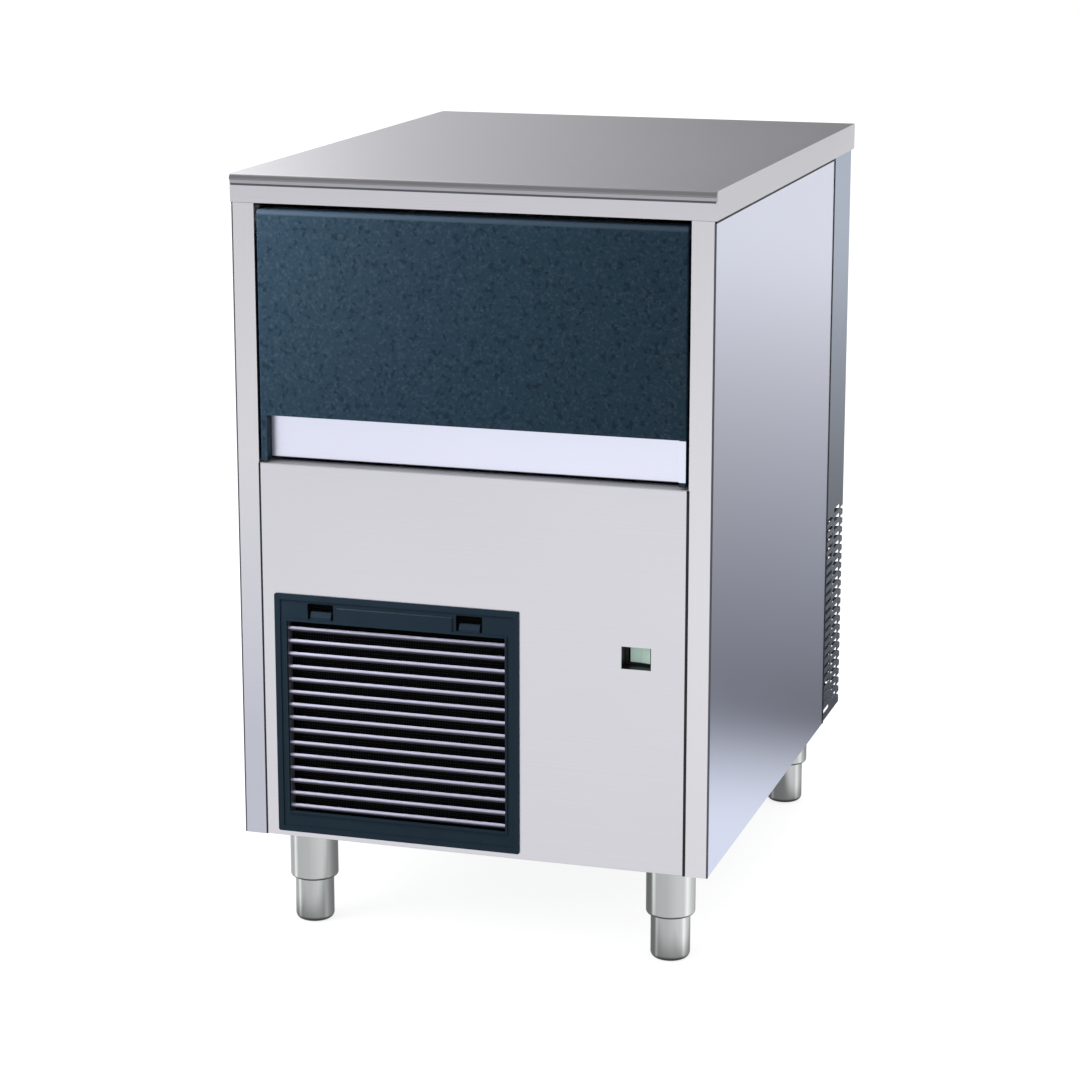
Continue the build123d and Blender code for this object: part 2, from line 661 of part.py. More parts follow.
# Lower front panel: folded tray with the grille cut-out and the switch window
CUT_X0 = GRILLE_X0 + CUTOUT_IN
CUT_X1 = GRILLE_X1 - CUTOUT_IN
CUT_Z0 = GRILLE_Z0 + CUTOUT_IN
CUT_Z1 = GRILLE_Z1 - CUTOUT_IN
with BuildPart() as lower_front_panel:
    with BuildSketch(Plane.XZ.offset(-FRONT_Y)):
        with Locations((0, (PANEL_Z0 + PANEL_Z1) / 2)):
            Rectangle(2 * PANEL_X, PANEL_Z1 - PANEL_Z0)
    extrude(amount=-PANEL_FOLD)
    with BuildSketch(Plane.XZ.offset(-SKIN_Y)):
        with Locations((0, (PANEL_Z0 + PANEL_Z1) / 2)):
            Rectangle(2 * (PANEL_X - SHEET), PANEL_Z1 - PANEL_Z0 - 2 * SHEET)
    extrude(amount=-PANEL_FOLD, mode=Mode.SUBTRACT)
    with BuildSketch(Plane.XY.offset(PANEL_Z1)):
        with Locations((0, FRONT_Y + PANEL_TOP_FOLD / 2)):
            Rectangle(2 * PANEL_X, PANEL_TOP_FOLD)
    extrude(amount=-SHEET)
    with BuildSketch(Plane.XZ.offset(-FRONT_Y)):
        with Locations(((CUT_X0 + CUT_X1) / 2, (CUT_Z0 + CUT_Z1) / 2)):
            Rectangle(CUT_X1 - CUT_X0, CUT_Z1 - CUT_Z0)
        with Locations((WINDOW_X, WINDOW_Z)):
            Rectangle(WINDOW_W, WINDOW_H)
    extrude(amount=-SHEET, mode=Mode.SUBTRACT)
    front_edges = lower_front_panel.faces().sort_by(Axis.Y)[0].outer_wire().edges()
    fillet(front_edges, radius=SHEET * 0.7)
save(lower_front_panel.part, "lower_front_panel")

# Bin shelf: divides the bin from the machine compartment
with BuildPart() as bin_shelf:
    with BuildSketch(Plane.XY.offset(SHELF_Z)):
        with Locations((0, (STILE_BACK_Y + FOAM_REAR_Y) / 2)):
            Rectangle(2 * FOAM_X, FOAM_REAR_Y - STILE_BACK_Y)
        with Locations((0, (SKIN_Y + PANEL_FOLD + FIT + STILE_BACK_Y) / 2)):
            Rectangle(2 * (PANEL_X - SHEET), STILE_BACK_Y - SKIN_Y - PANEL_FOLD - FIT)
        with Locations((DRAIN_X, DRAIN_Y)):
            Circle(DRAIN_R + 2 * FIT, mode=Mode.SUBTRACT)
    extrude(amount=FRAME_SHEET)
    with BuildSketch(Plane.XY.offset(SHELF_Z)):
        for side in (-1, 1):
            with Locations((side * (FOAM_X - FRAME_SHEET / 2), (STILE_BACK_Y + FOAM_REAR_Y) / 2)):
                Rectangle(FRAME_SHEET, FOAM_REAR_Y - STILE_BACK_Y)
    extrude(amount=-SHELF_FLANGE)
save(bin_shelf.part, "bin_shelf")

# Ice bin liner: moulded tub, low front wall with a sill, rim under the door rails
LINER_OUT_X = LINER_X + PLASTIC
LINER_MID_Y = (LINER_FRONT_Y + LINER_REAR_Y) / 2
LINER_LEN = LINER_REAR_Y - LINER_FRONT_Y
with BuildPart() as bin_liner:
    with BuildSketch(Plane.XY.offset(LINER_FLOOR - PLASTIC)) as tub_outside:
        with Locations((0, LINER_MID_Y)):
            Rectangle(2 * LINER_OUT_X, LINER_LEN + 2 * PLASTIC)
        fillet(tub_outside.vertices().group_by(Axis.Y)[-1], LINER_R + PLASTIC)
    extrude(amount=FOAM_TOP - LINER_FLOOR + PLASTIC)
    with BuildSketch(Plane.XY.offset(FOAM_TOP)):
        with Locations((0, (STILE_BACK_Y + FOAM_REAR_Y) / 2)):
            Rectangle(2 * (SIDE_IN - 2 * FIT), FOAM_REAR_Y - STILE_BACK_Y)
    extrude(amount=RIM_Z - FOAM_TOP)
    with BuildSketch(Plane.XY.offset(LINER_FLOOR)) as tub_inside:
        with Locations((0, LINER_MID_Y)):
            Rectangle(2 * LINER_X, LINER_LEN)
        fillet(tub_inside.vertices().group_by(Axis.Y)[-1], LINER_R)
    extrude(amount=RIM_Z - LINER_FLOOR, mode=Mode.SUBTRACT)
    with BuildSketch(Plane.XY.offset(SILL_Z)):
        with Locations((0, LINER_FRONT_Y - PLASTIC / 2)):
            Rectangle(2 * LINER_X, PLASTIC)
    extrude(amount=RIM_Z - SILL_Z, mode=Mode.SUBTRACT)
    with BuildSketch(Plane.XY.offset(SILL_Z)):
        sill_y0 = SKIN_Y + FIT
        with Locations((0, (sill_y0 + LINER_FRONT_Y) / 2)):
            Rectangle(2 * (PANEL_X - SHEET - FIT), LINER_FRONT_Y - sill_y0)
    extrude(amount=PLASTIC)
    with BuildSketch(Plane.XY.offset(LINER_FLOOR - PLASTIC)):
        with Locations((DRAIN_X, DRAIN_Y)):
            Circle(DRAIN_R - PLASTIC)
    extrude(amount=2 * PLASTIC, mode=Mode.SUBTRACT)
    with BuildSketch(Plane.XZ.offset(-LINER_REAR_Y + THROUGH)):
        with Locations((UNIT_X, CHUTE_Z)):
            Rectangle(CHUTE_W + 2 * (PLASTIC + FIT), CHUTE_H + 2 * (PLASTIC + FIT))
    extrude(amount=-2 * PLASTIC, mode=Mode.SUBTRACT)
save(bin_liner.part, "bin_liner")

# Bin insulation: foam round the liner
with BuildPart() as bin_insulation:
    with BuildSketch(Plane.XY.offset(SHELF_TOP)):
        with Locations((0, (STILE_BACK_Y + FOAM_REAR_Y) / 2)):
            Rectangle(2 * FOAM_X, FOAM_REAR_Y - STILE_BACK_Y)
    extrude(amount=FOAM_TOP - SHELF_TOP)
    with BuildSketch(Plane.XY.offset(SHELF_TOP)):
        foam_y0 = SKIN_Y + PANEL_FOLD + FIT
        with Locations((0, (foam_y0 + STILE_BACK_Y) / 2)):
            Rectangle(2 * (STILE_IN - FIT), STILE_BACK_Y - foam_y0)
    extrude(amount=SILL_Z - SHELF_TOP)
    with BuildSketch(Plane.XY.offset(LINER_FLOOR - PLASTIC)) as foam_hollow:
        with Locations((0, LINER_MID_Y)):
            Rectangle(2 * (LINER_OUT_X + FIT), LINER_LEN + 2 * (PLASTIC + FIT))
        fillet(foam_hollow.vertices().group_by(Axis.Y)[-1], LINER_R + PLASTIC + FIT)
    extrude(amount=FOAM_TOP, mode=Mode.SUBTRACT)
    with BuildSketch(Plane.XY.offset(SHELF_TOP)):
        with Locations((DRAIN_X, DRAIN_Y)):
            Circle(DRAIN_R + FIT)
    extrude(amount=LINER_FLOOR - SHELF_TOP, mode=Mode.SUBTRACT)
    with BuildSketch(Plane.XZ.offset(-LINER_REAR_Y)):
        with Locations((UNIT_X, CHUTE_Z)):
            Rectangle(CHUTE_W + 2 * (PLASTIC + FIT), CHUTE_H + 2 * (PLASTIC + FIT))
    extrude(amount=-(FOAM_REAR_Y - LINER_REAR_Y + THROUGH), mode=Mode.SUBTRACT)
save(bin_insulation.part, "bin_insulation")

# Door: moulded tray with a recess for the handle strip, ribs and pivot bosses
PIVOT_Y = FRONT_Y + DOOR_T / 2
DOOR_TRAY_Y = FRONT_Y + DOOR_T - DOOR_BACK_T
RECESS_Y = FRONT_Y + RECESS_D
RECESS_X = DOOR_X - CHEEK_W
with BuildPart() as door_panel:
    with BuildSketch(Plane.XZ.offset(-FRONT_Y)):
        with Locations((0, (DOOR_Z0 + DOOR_Z1) / 2)):
            Rectangle(2 * DOOR_X, DOOR_Z1 - DOOR_Z0)
    extrude(amount=-(DOOR_T - DOOR_BACK_T))
    front_face = door_panel.faces().sort_by(Axis.Y)[0]
    fillet(front_face.edges().sort_by(Axis.Z)[-1], radius=DOOR_EDGE_R)
    fillet(door_panel.faces().sort_by(Axis.Y)[0].edges().filter_by(Axis.Z), radius=DOOR_SIDE_R)
    with BuildSketch(Plane.XZ.offset(-FRONT_Y)):
        with Locations((0, (DOOR_Z0 + RECESS_TOP) / 2)):
            Rectangle(2 * RECESS_X, RECESS_TOP - DOOR_Z0)
    extrude(amount=-RECESS_D, mode=Mode.SUBTRACT)
    with BuildSketch(Plane.XZ.offset(-FRONT_Y)):
        with Locations((0, (DOOR_Z0 + STRIP_Z0 + SHEET) / 2)):
            Rectangle(2 * RECESS_X, STRIP_Z0 + SHEET - DOOR_Z0)
    extrude(amount=-DOOR_T, mode=Mode.SUBTRACT)
    with BuildSketch(Plane.XZ.offset(-FRONT_Y - DOOR_WALL)):
        hollow_z0 = RECESS_TOP + DOOR_WALL
        hollow_z1 = PIVOT_Z - BOSS
        with Locations((0, (hollow_z0 + hollow_z1) / 2)):
            Rectangle(2 * (DOOR_X - DOOR_WALL), hollow_z1 - hollow_z0)
        with Locations((0, (DOOR_Z1 - DOOR_WALL + hollow_z1) / 2)):
            Rectangle(2 * (DOOR_X - PIVOT_DEPTH - DOOR_WALL), DOOR_Z1 - DOOR_WALL - hollow_z1)
    extrude(amount=-DOOR_T, mode=Mode.SUBTRACT)
    with BuildSketch(Plane.XZ.offset(-RECESS_Y - DOOR_WALL)):
        lower_z0 = STRIP_Z0 + SHEET + DOOR_WALL
        with Locations((0, (lower_z0 + hollow_z0) / 2)):
            Rectangle(2 * (RECESS_X - DOOR_WALL), hollow_z0 - lower_z0)
    extrude(amount=-DOOR_T, mode=Mode.SUBTRACT)
    with BuildSketch(Plane.XZ.offset(-FRONT_Y - DOOR_WALL)):
        with GridLocations(2 * DOOR_X / (DOOR_RIBS + 1), 1, DOOR_RIBS, 1):
            with Locations((0, (hollow_z0 + DOOR_Z1 - DOOR_WALL) / 2)):
                Rectangle(RIB, DOOR_Z1 - DOOR_WALL - hollow_z0)
    extrude(amount=-(DOOR_T - DOOR_BACK_T - DOOR_WALL))
    for side in (-1, 1):
        with BuildSketch(Plane.YZ.offset(side * DOOR_X)):
            with Locations((PIVOT_Y, PIVOT_Z)):
                Circle(PIVOT_R + PIVOT_FIT)
        extrude(amount=-side * PIVOT_DEPTH, mode=Mode.SUBTRACT)
save(door_panel.part, "door_panel")

with BuildPart() as door_back_panel:
    with BuildSketch(Plane.XZ.offset(-DOOR_TRAY_Y)):
        back_z1 = DOOR_Z1 - DOOR_BACK_IN
        with Locations((0, (STRIP_Z0 + SHEET + back_z1) / 2)):
            RectangleRounded(2 * (DOOR_X - DOOR_BACK_IN), back_z1 - STRIP_Z0 - SHEET, DOOR_BACK_T)
    extrude(amount=-DOOR_BACK_T)
save(door_back_panel.part, "door_back_panel")

# Handle strip: stainless strip folded under the lower edge of the door
with BuildPart() as door_handle_strip:
    strip_x = RECESS_X - FIT
    strip_y = RECESS_Y - SHEET
    with BuildSketch(Plane.YZ):
        with BuildLine():
            Polyline(
                (strip_y, RECESS_TOP - FIT),
                (strip_y, STRIP_Z0),
                (strip_y + STRIP_LIP, STRIP_Z0),
                (strip_y + STRIP_LIP, STRIP_Z0 + SHEET),
                (strip_y + SHEET, STRIP_Z0 + SHEET),
                (strip_y + SHEET, RECESS_TOP - FIT),
                close=True,
            )
        make_face()
    extrude(amount=strip_x, both=True)
    lower_edge = door_handle_strip.edges().filter_by(Axis.X).group_by(Axis.Z)[0].sort_by(Axis.Y)[0]
    fillet(lower_edge, radius=SHEET * 0.8)
save(door_handle_strip.part, "door_handle_strip")

# Door rails: channels that open towards the door
RAIL_Z1 = 2 * PIVOT_Z - RIM_Z
RAIL_Y0 = SKIN_Y + FIT
for side, hand in ((-1, "left"), (1, "right")):
    with BuildPart() as door_rail:
        with BuildSketch(Plane.XZ.offset(-RAIL_Y0)):
            with Locations((side * (RAIL_X + RAIL_W / 2), PIVOT_Z)):
                Rectangle(RAIL_W, RAIL_Z1 - RIM_Z)
            with Locations((side * (RAIL_X + RAIL_W / 2 - SHEET), PIVOT_Z)):
                Rectangle(RAIL_W, RAIL_Z1 - RIM_Z - 2 * SHEET, mode=Mode.SUBTRACT)
        extrude(amount=-(RAIL_END_Y - RAIL_Y0))
        with BuildSketch(Plane.XZ.offset(-RAIL_END_Y)):
            with Locations((side * (RAIL_X + RAIL_W / 2), PIVOT_Z)):
                Rectangle(RAIL_W, RAIL_Z1 - RIM_Z)
        extrude(amount=SHEET)
    save(door_rail.part, f"{hand}_door_rail")

# Slide shoes: one block in each rail, with the pivot pin of the door
with BuildPart() as door_slide_shoes:
    shoe_h = RAIL_Z1 - RIM_Z - 2 * SHEET - 2 * SHOE_GAP
    shoe_x0 = RAIL_X + SHOE_SET
    shoe_x1 = RAIL_X + RAIL_W - SHEET - SHOE_GAP
    with BuildSketch(Plane.XZ.offset(-(PIVOT_Y - SHOE_L / 2))):
        with Locations(*[(side * (shoe_x0 + shoe_x1) / 2, PIVOT_Z) for side in (-1, 1)]):
            RectangleRounded(shoe_x1 - shoe_x0, shoe_h, SHOE_R)
    extrude(amount=-SHOE_L)
    for side in (-1, 1):
        with BuildSketch(Plane.YZ.offset(side * (shoe_x0 + THROUGH))):
            with Locations((PIVOT_Y, PIVOT_Z)):
                Circle(PIVOT_R)
        extrude(amount=-side * (shoe_x0 - DOOR_X + PIVOT_DEPTH))
save(door_slide_shoes.part, "door_slide_shoes")

# Grille frame: moulded frame that hooks in below and clips in above
FRAME_Y = FRONT_Y - GRILLE_PROUD
BAND_Y = FRAME_Y + GRILLE_SINK
LOUVRE_MID = ((LOUVRE_X0 + LOUVRE_X1) / 2, (LOUVRE_Z0 + LOUVRE_Z1) / 2)
with BuildPart() as grille_frame:
    with BuildSketch(Plane.XZ.offset(-FRAME_Y)):
        with Locations(GRILLE_MID):
            RectangleRounded(GRILLE_W, GRILLE_H, GRILLE_CORNER_R)
    extrude(amount=-GRILLE_PROUD)
    with BuildSketch(Plane.XZ.offset(-FRONT_Y)):
        with Locations(GRILLE_MID):
            Rectangle(GRILLE_W - 2 * BODY_IN, GRILLE_H - 2 * BODY_IN)
    extrude(amount=-GRILLE_DEPTH)
    with BuildSketch(Plane.XZ.offset(-FRAME_Y)):
        with Locations(GRILLE_MID):
            Rectangle(GRILLE_W - 2 * GRILLE_RIM, GRILLE_H - 2 * GRILLE_RIM)
        with Locations(LOUVRE_MID):
            Rectangle(
                LOUVRE_X1 - LOUVRE_X0 + 2 * LOUVRE_RIM,
                LOUVRE_Z1 - LOUVRE_Z0 + 2 * LOUVRE_RIM,
                mode=Mode.SUBTRACT,
            )
    extrude(amount=-GRILLE_SINK, mode=Mode.SUBTRACT)
    with BuildSketch(Plane.XZ.offset(-BAND_Y - GRILLE_FACE)):
        with Locations(GRILLE_MID):
            Rectangle(
                GRILLE_W - 2 * (BODY_IN + PLASTIC), GRILLE_H - 2 * (BODY_IN + PLASTIC)
            )
    extrude(amount=-GRILLE_DEPTH, mode=Mode.SUBTRACT)
    # Raised pad on the top band, between the clip pockets
    with BuildSketch(Plane.XZ.offset(-FRAME_Y)):
        pad_x0 = CLIP_X[0] + CLIP_W / 2 + PAD_GAP
        pad_x1 = CLIP_X[1] - CLIP_W / 2 - PAD_GAP
        pad_z1 = GRILLE_Z1 - PAD_DROP
        with Locations(((pad_x0 + pad_x1) / 2, (LOUVRE_Z1 + pad_z1) / 2)):
            Rectangle(pad_x1 - pad_x0, pad_z1 - LOUVRE_Z1)
    extrude(amount=-GRILLE_SINK)
    pad_top = grille_frame.faces().sort_by(Axis.Y)[0].edges().filter_by(Axis.X)
    chamfer(pad_top.sort_by(lambda e: abs(e.center().Z - pad_z1))[0], length=GRILLE_SINK - FIT)
    with BuildSketch(Plane.XZ.offset(-FRAME_Y)):
        with Locations(LOUVRE_MID):
            Rectangle(LOUVRE_X1 - LOUVRE_X0, LOUVRE_Z1 - LOUVRE_Z0)
        with Locations(*[(x, CLIP_Z) for x in CLIP_X]):
            RectangleRounded(CLIP_W, CLIP_H, GRILLE_CORNER_R / 2)
    extrude(amount=-GRILLE_DEPTH / 2, mode=Mode.SUBTRACT)
    # Sprung tongues: they stand on the lower edge of each pocket and lean back
    tongue_z0 = CLIP_Z - CLIP_H / 2
    for x in CLIP_X:
        with BuildSketch(Plane.YZ.offset(x - CLIP_TONGUE_W / 2)):
            with BuildLine():
                Polyline(
                    (BAND_Y + FIT, tongue_z0 - FIT),
                    (BAND_Y + FIT, tongue_z0 + CLIP_TONGUE_H / 3),
                    (BAND_Y + GRILLE_FACE, tongue_z0 + CLIP_TONGUE_H),
                    (BAND_Y + 2 * GRILLE_FACE, tongue_z0 + CLIP_TONGUE_H),
                    (BAND_Y + GRILLE_FACE, tongue_z0 - FIT),
                    close=True,
                )
            make_face()
        extrude(amount=CLIP_TONGUE_W)
save(grille_frame.part, "grille_frame")

# Louvre insert: blades with a round nose that fall to the back, between two side bars
BLADE_Y = FRONT_Y + BLADE_SET
INSERT_X0 = GRILLE_X0 + BODY_IN + PLASTIC + FIT
INSERT_X1 = GRILLE_X1 - BODY_IN - PLASTIC - FIT
BAR_Y = BAND_Y + GRILLE_FACE + FIT
BAR_OVER = 3.0
with BuildPart() as grille_louvres:
    with BuildSketch(Plane.YZ.offset(LOUVRE_X0 + FIT)):
        for i in range(BLADE_COUNT):
            z = LOUVRE_Z0 + BLADE_FOOT + BLADE_PITCH * i
            nose_y = BLADE_Y + BLADE_NOSE_R
            tail_z = z + BLADE_NOSE_R - BLADE_FALL
            with BuildLine():
                ThreePointArc((nose_y, z - BLADE_NOSE_R), (BLADE_Y, z), (nose_y, z + BLADE_NOSE_R))
                Polyline(
                    (nose_y, z + BLADE_NOSE_R),
                    (BLADE_Y + BLADE_DEPTH, tail_z),
                    (BLADE_Y + BLADE_DEPTH, tail_z - BLADE_T),
                    (nose_y, z - BLADE_NOSE_R),
                )
            make_face()
    extrude(amount=LOUVRE_X1 - LOUVRE_X0 - 2 * FIT)
    with BuildSketch(Plane.XZ.offset(-BAR_Y)):
        for x0, x1 in ((INSERT_X0, LOUVRE_X0 + FIT), (LOUVRE_X1 - FIT, INSERT_X1)):
            with Locations(((x0 + x1) / 2, LOUVRE_MID[1])):
                Rectangle(x1 - x0, LOUVRE_Z1 - LOUVRE_Z0 + 2 * BAR_OVER)
    extrude(amount=-(BLADE_Y + BLADE_DEPTH - BAR_Y))
save(grille_louvres.part, "grille_louvres")

# Air filter: frame with a crossed mesh of ribs
FILTER_Y = BLADE_Y + BLADE_DEPTH + FIT
with BuildPart() as air_filter:
    filter_in = BODY_IN + PLASTIC + FILTER_GAP
    filter_w = GRILLE_W - 2 * filter_in
    filter_h = GRILLE_H - 2 * filter_in
    with BuildSketch(Plane.XZ.offset(-FILTER_Y)):
        with Locations(GRILLE_MID):
            Rectangle(filter_w, filter_h)
            Rectangle(filter_w - 2 * FILTER_RIM, filter_h - 2 * FILTER_RIM, mode=Mode.SUBTRACT)
    extrude(amount=-FILTER_T)
    with BuildSketch(Plane.XZ.offset(-FILTER_Y - FILTER_T / 2)):
        with Locations(GRILLE_MID):
            Rectangle(filter_w - FILTER_RIM, filter_h - FILTER_RIM)
    extrude(amount=-FIT)
    with BuildSketch(Plane.XZ.offset(-FILTER_Y - THROUGH)):
        with Locations(GRILLE_MID):
            with GridLocations(filter_w / 4, 1, 3, 1):
                Rectangle(FILTER_RIB, filter_h - FILTER_RIM)
            with GridLocations(1, filter_h / 4, 1, 3):
                Rectangle(filter_w - FILTER_RIM, FILTER_RIB)
    extrude(amount=-(FILTER_T - 2 * THROUGH))
save(air_filter.part, "air_filter")

# Switch body: a dark tunnel from the window back to the rocker, then the contact block
ROCKER_Y = FRONT_Y + ROCKER_SET
ROCKER_AXIS_Y = ROCKER_Y + ROCKER_PIN_SET
SWITCH_Y1 = BOX_Y0 + SWITCH_BACK
with BuildPart() as switch_body:
    with BuildSketch(Plane.XZ.offset(-(SKIN_Y + FIT))):
        with Locations((WINDOW_X, WINDOW_Z)):
            Rectangle(WINDOW_W + 2 * SWITCH_WALL, WINDOW_H + 2 * SWITCH_WALL)
    extrude(amount=-(BOX_Y0 - SKIN_Y - FIT))
    with BuildSketch(Plane.XZ.offset(-BOX_Y0)):
        with Locations((WINDOW_X, WINDOW_Z)):
            Rectangle(WINDOW_W, WINDOW_H)
    extrude(amount=-(SWITCH_Y1 - BOX_Y0))
    with BuildSketch(Plane.XZ.offset(-(SKIN_Y + FIT))):
        with Locations((WINDOW_X, WINDOW_Z)):
            Rectangle(WINDOW_W, WINDOW_H)
    extrude(amount=-(ROCKER_Y - SKIN_Y - FIT), mode=Mode.SUBTRACT)
    with BuildSketch(Plane.XZ.offset(-ROCKER_Y)):
        with Locations((WINDOW_X, WINDOW_Z)):
            Rectangle(ROCKER_W + 2 * ROCKER_GAP, ROCKER_H + 2 * ROCKER_GAP)
    extrude(amount=-(ROCKER_R + SWITCH_WALL), mode=Mode.SUBTRACT)
    with BuildSketch(Plane.XY.offset(WINDOW_Z - ROCKER_PIN_L / 2)):
        with Locations((WINDOW_X, ROCKER_AXIS_Y)):
            Circle(ROCKER_PIN_R + RUN_FIT)
    extrude(amount=ROCKER_PIN_L, mode=Mode.SUBTRACT)
save(switch_body.part, "switch_body")

# Rocker: two facets that meet at a crease, turned about an upright pin
with BuildPart() as power_rocker:
    with BuildSketch(Plane.XY.offset(WINDOW_Z - ROCKER_H / 2)):
        with BuildLine():
            half_w = ROCKER_W / 2 - ROCKER_TRIM
            left = (WINDOW_X - half_w, ROCKER_AXIS_Y - ROCKER_LEFT)
            right = (WINDOW_X + half_w, ROCKER_AXIS_Y - ROCKER_RIGHT)
            middle = (WINDOW_X, ROCKER_AXIS_Y - ROCKER_CREASE)
            Line(left, middle)
            Line(middle, right)
            RadiusArc(right, left, -ROCKER_R)
        make_face()
    extrude(amount=ROCKER_H)
    with BuildSketch(Plane.XY.offset(WINDOW_Z - ROCKER_PIN_L / 2 + ROCKER_GAP)):
        with Locations((WINDOW_X, ROCKER_AXIS_Y)):
            Circle(ROCKER_PIN_R)
    extrude(amount=ROCKER_PIN_L - 2 * ROCKER_GAP)
save(power_rocker.part, "power_rocker")

# Control box under the bin shelf, with the switch let into its front
with BuildPart() as control_box:
    box_top = SHELF_Z - FIT
    box_mid = ((BOX_X0 + BOX_X1) / 2, (BOX_Z0 + box_top) / 2)
    with BuildSketch(Plane.XZ.offset(-BOX_Y0)):
        with Locations(box_mid):
            Rectangle(BOX_X1 - BOX_X0, box_top - BOX_Z0)
    extrude(amount=-(BOX_Y1 - BOX_Y0))
    with BuildSketch(Plane.XZ.offset(-(BOX_Y0 + SHEET))):
        with Locations(box_mid):
            Rectangle(BOX_X1 - BOX_X0 - 2 * SHEET, box_top - BOX_Z0 - 2 * SHEET)
    extrude(amount=-(BOX_Y1 - BOX_Y0), mode=Mode.SUBTRACT)
    with BuildSketch(Plane.XZ.offset(-BOX_Y0)):
        with Locations((WINDOW_X, WINDOW_Z)):
            Rectangle(WINDOW_W + 2 * FIT, WINDOW_H + 2 * FIT)
    extrude(amount=-SHEET, mode=Mode.SUBTRACT)
save(control_box.part, "control_box")

with BuildPart() as control_box_cover:
    with BuildSketch(Plane.XZ.offset(-BOX_Y1)):
        with Locations(box_mid):
            Rectangle(BOX_X1 - BOX_X0, box_top - BOX_Z0)
    extrude(amount=-SHEET)
    with BuildSketch(Plane.XZ.offset(-BOX_Y1)):
        with Locations(box_mid):
            Rectangle(BOX_X1 - BOX_X0 - 2 * SHEET - 2 * FIT, box_top - BOX_Z0 - 2 * SHEET - 2 * FIT)
            Rectangle(
                BOX_X1 - BOX_X0 - 4 * SHEET - 2 * FIT,
                box_top - BOX_Z0 - 4 * SHEET - 2 * FIT,
                mode=Mode.SUBTRACT,
            )
    extrude(amount=BOX_COVER_FOLD)
save(control_box_cover.part, "control_box_cover")

# Condenser: end plates and fins, with the tube zigzag pressed through them
COIL_W = COIL_X1 - COIL_X0
TUBE_Y = COIL_Y0 + COIL_D / 2
with BuildPart() as condenser_fins:
    fin_step = (COIL_W - END_PLATE_T) / (FIN_COUNT + 1)
    for i in range(FIN_COUNT + 2):
        is_end = i in (0, FIN_COUNT + 1)
        plate_t = END_PLATE_T if is_end else FIN_T
        plate_z0 = BASE_TOP if is_end else BASE_TOP + FIN_LIFT
        with BuildSketch(Plane.YZ.offset(COIL_X0 + fin_step * i)):
            with Locations((COIL_Y0 + COIL_D / 2, (plate_z0 + COIL_Z1) / 2)):
                Rectangle(COIL_D, COIL_Z1 - plate_z0)
        extrude(amount=plate_t)
save(condenser_fins.part, "condenser_fins")

BEND_X0 = COIL_X0 - TUBE_END
BEND_X1 = COIL_X1 + TUBE_END
with BuildPart() as condenser_coil:
    tube_zs = [TUBE_Z0 + TUBE_PITCH * i for i in range(TUBE_ROWS)]
    with BuildSketch(Plane.YZ.offset(BEND_X0)):
        with Locations(*[(TUBE_Y, z) for z in tube_zs]):
            Circle(TUBE_R)
    extrude(amount=BEND_X1 - BEND_X0)
    for i in range(TUBE_ROWS - 1):
        bend_x, turn = (BEND_X0, -1) if i % 2 == 0 else (BEND_X1, 1)
        turn_x = bend_x + turn * TUBE_RETURN
        z = tube_zs[i]
        with BuildSketch(Plane(origin=(bend_x, TUBE_Y, z), z_dir=(turn, 0, 0))):
            Circle(TUBE_R)
        with BuildLine() as return_bend:
            FilletPolyline(
                (bend_x, TUBE_Y, z),
                (turn_x, TUBE_Y, z),
                (turn_x, TUBE_Y, z + TUBE_PITCH),
                (bend_x, TUBE_Y, z + TUBE_PITCH),
                radius=TUBE_RETURN_R,
            )
        sweep(path=return_bend.wires()[0])
save(condenser_coil.part, "condenser_coil")

# Fan shroud: hood on the back of the condenser, ring round the fan, straps for the motor
HOOD_Y0 = COIL_Y0 + COIL_D + FIT
HOOD_Y1 = HOOD_Y0 + HOOD_D
RING_R = FAN_R + FAN_RING_GAP
STRAP_Y = HOOD_Y1 + STRAP_REACH
with BuildPart() as fan_shroud:
    hood_mid = (FAN_X, (BASE_TOP + COIL_Z1) / 2)
    hood_h = COIL_Z1 - BASE_TOP
    with BuildSketch(Plane.XZ.offset(-HOOD_Y0)):
        with Locations(hood_mid):
            Rectangle(COIL_W, hood_h)
    extrude(amount=-HOOD_D)
    with BuildSketch(Plane.XZ.offset(-HOOD_Y0)):
        with Locations(hood_mid):
            Rectangle(COIL_W - 2 * FRAME_SHEET, hood_h - 2 * FRAME_SHEET)
    extrude(amount=-(HOOD_D - FRAME_SHEET), mode=Mode.SUBTRACT)
    with BuildSketch(Plane.XZ.offset(-(HOOD_Y1 - FRAME_SHEET))):
        with Locations((FAN_X, FAN_Z)):
            Circle(RING_R + FRAME_SHEET)
    extrude(amount=-FAN_RING_L)
    with BuildSketch(Plane.XZ.offset(-(HOOD_Y1 - FRAME_SHEET))):
        with Locations((FAN_X, FAN_Z)):
            Circle(RING_R)
    extrude(amount=-FAN_RING_L, mode=Mode.SUBTRACT)
    strap_x = RING_R + STRAP_SIDE
    weld_y = HOOD_Y1 - FRAME_SHEET / 2
    for z in (FAN_Z - STRAP_DZ, FAN_Z + STRAP_DZ):
        with BuildSketch(Plane.XY.offset(z - STRAP_H / 2)):
            with BuildLine():
                Polyline(
                    (FAN_X - strap_x, weld_y),
                    (FAN_X - strap_x, STRAP_Y),
                    (FAN_X + strap_x, STRAP_Y),
                    (FAN_X + strap_x, weld_y),
                    (FAN_X + strap_x - STRAP_T, weld_y),
                    (FAN_X + strap_x - STRAP_T, STRAP_Y - STRAP_T),
                    (FAN_X - strap_x + STRAP_T, STRAP_Y - STRAP_T),
                    (FAN_X - strap_x + STRAP_T, weld_y),
                    close=True,
                )
            make_face()
        extrude(amount=STRAP_H)
save(fan_shroud.part, "fan_shroud")

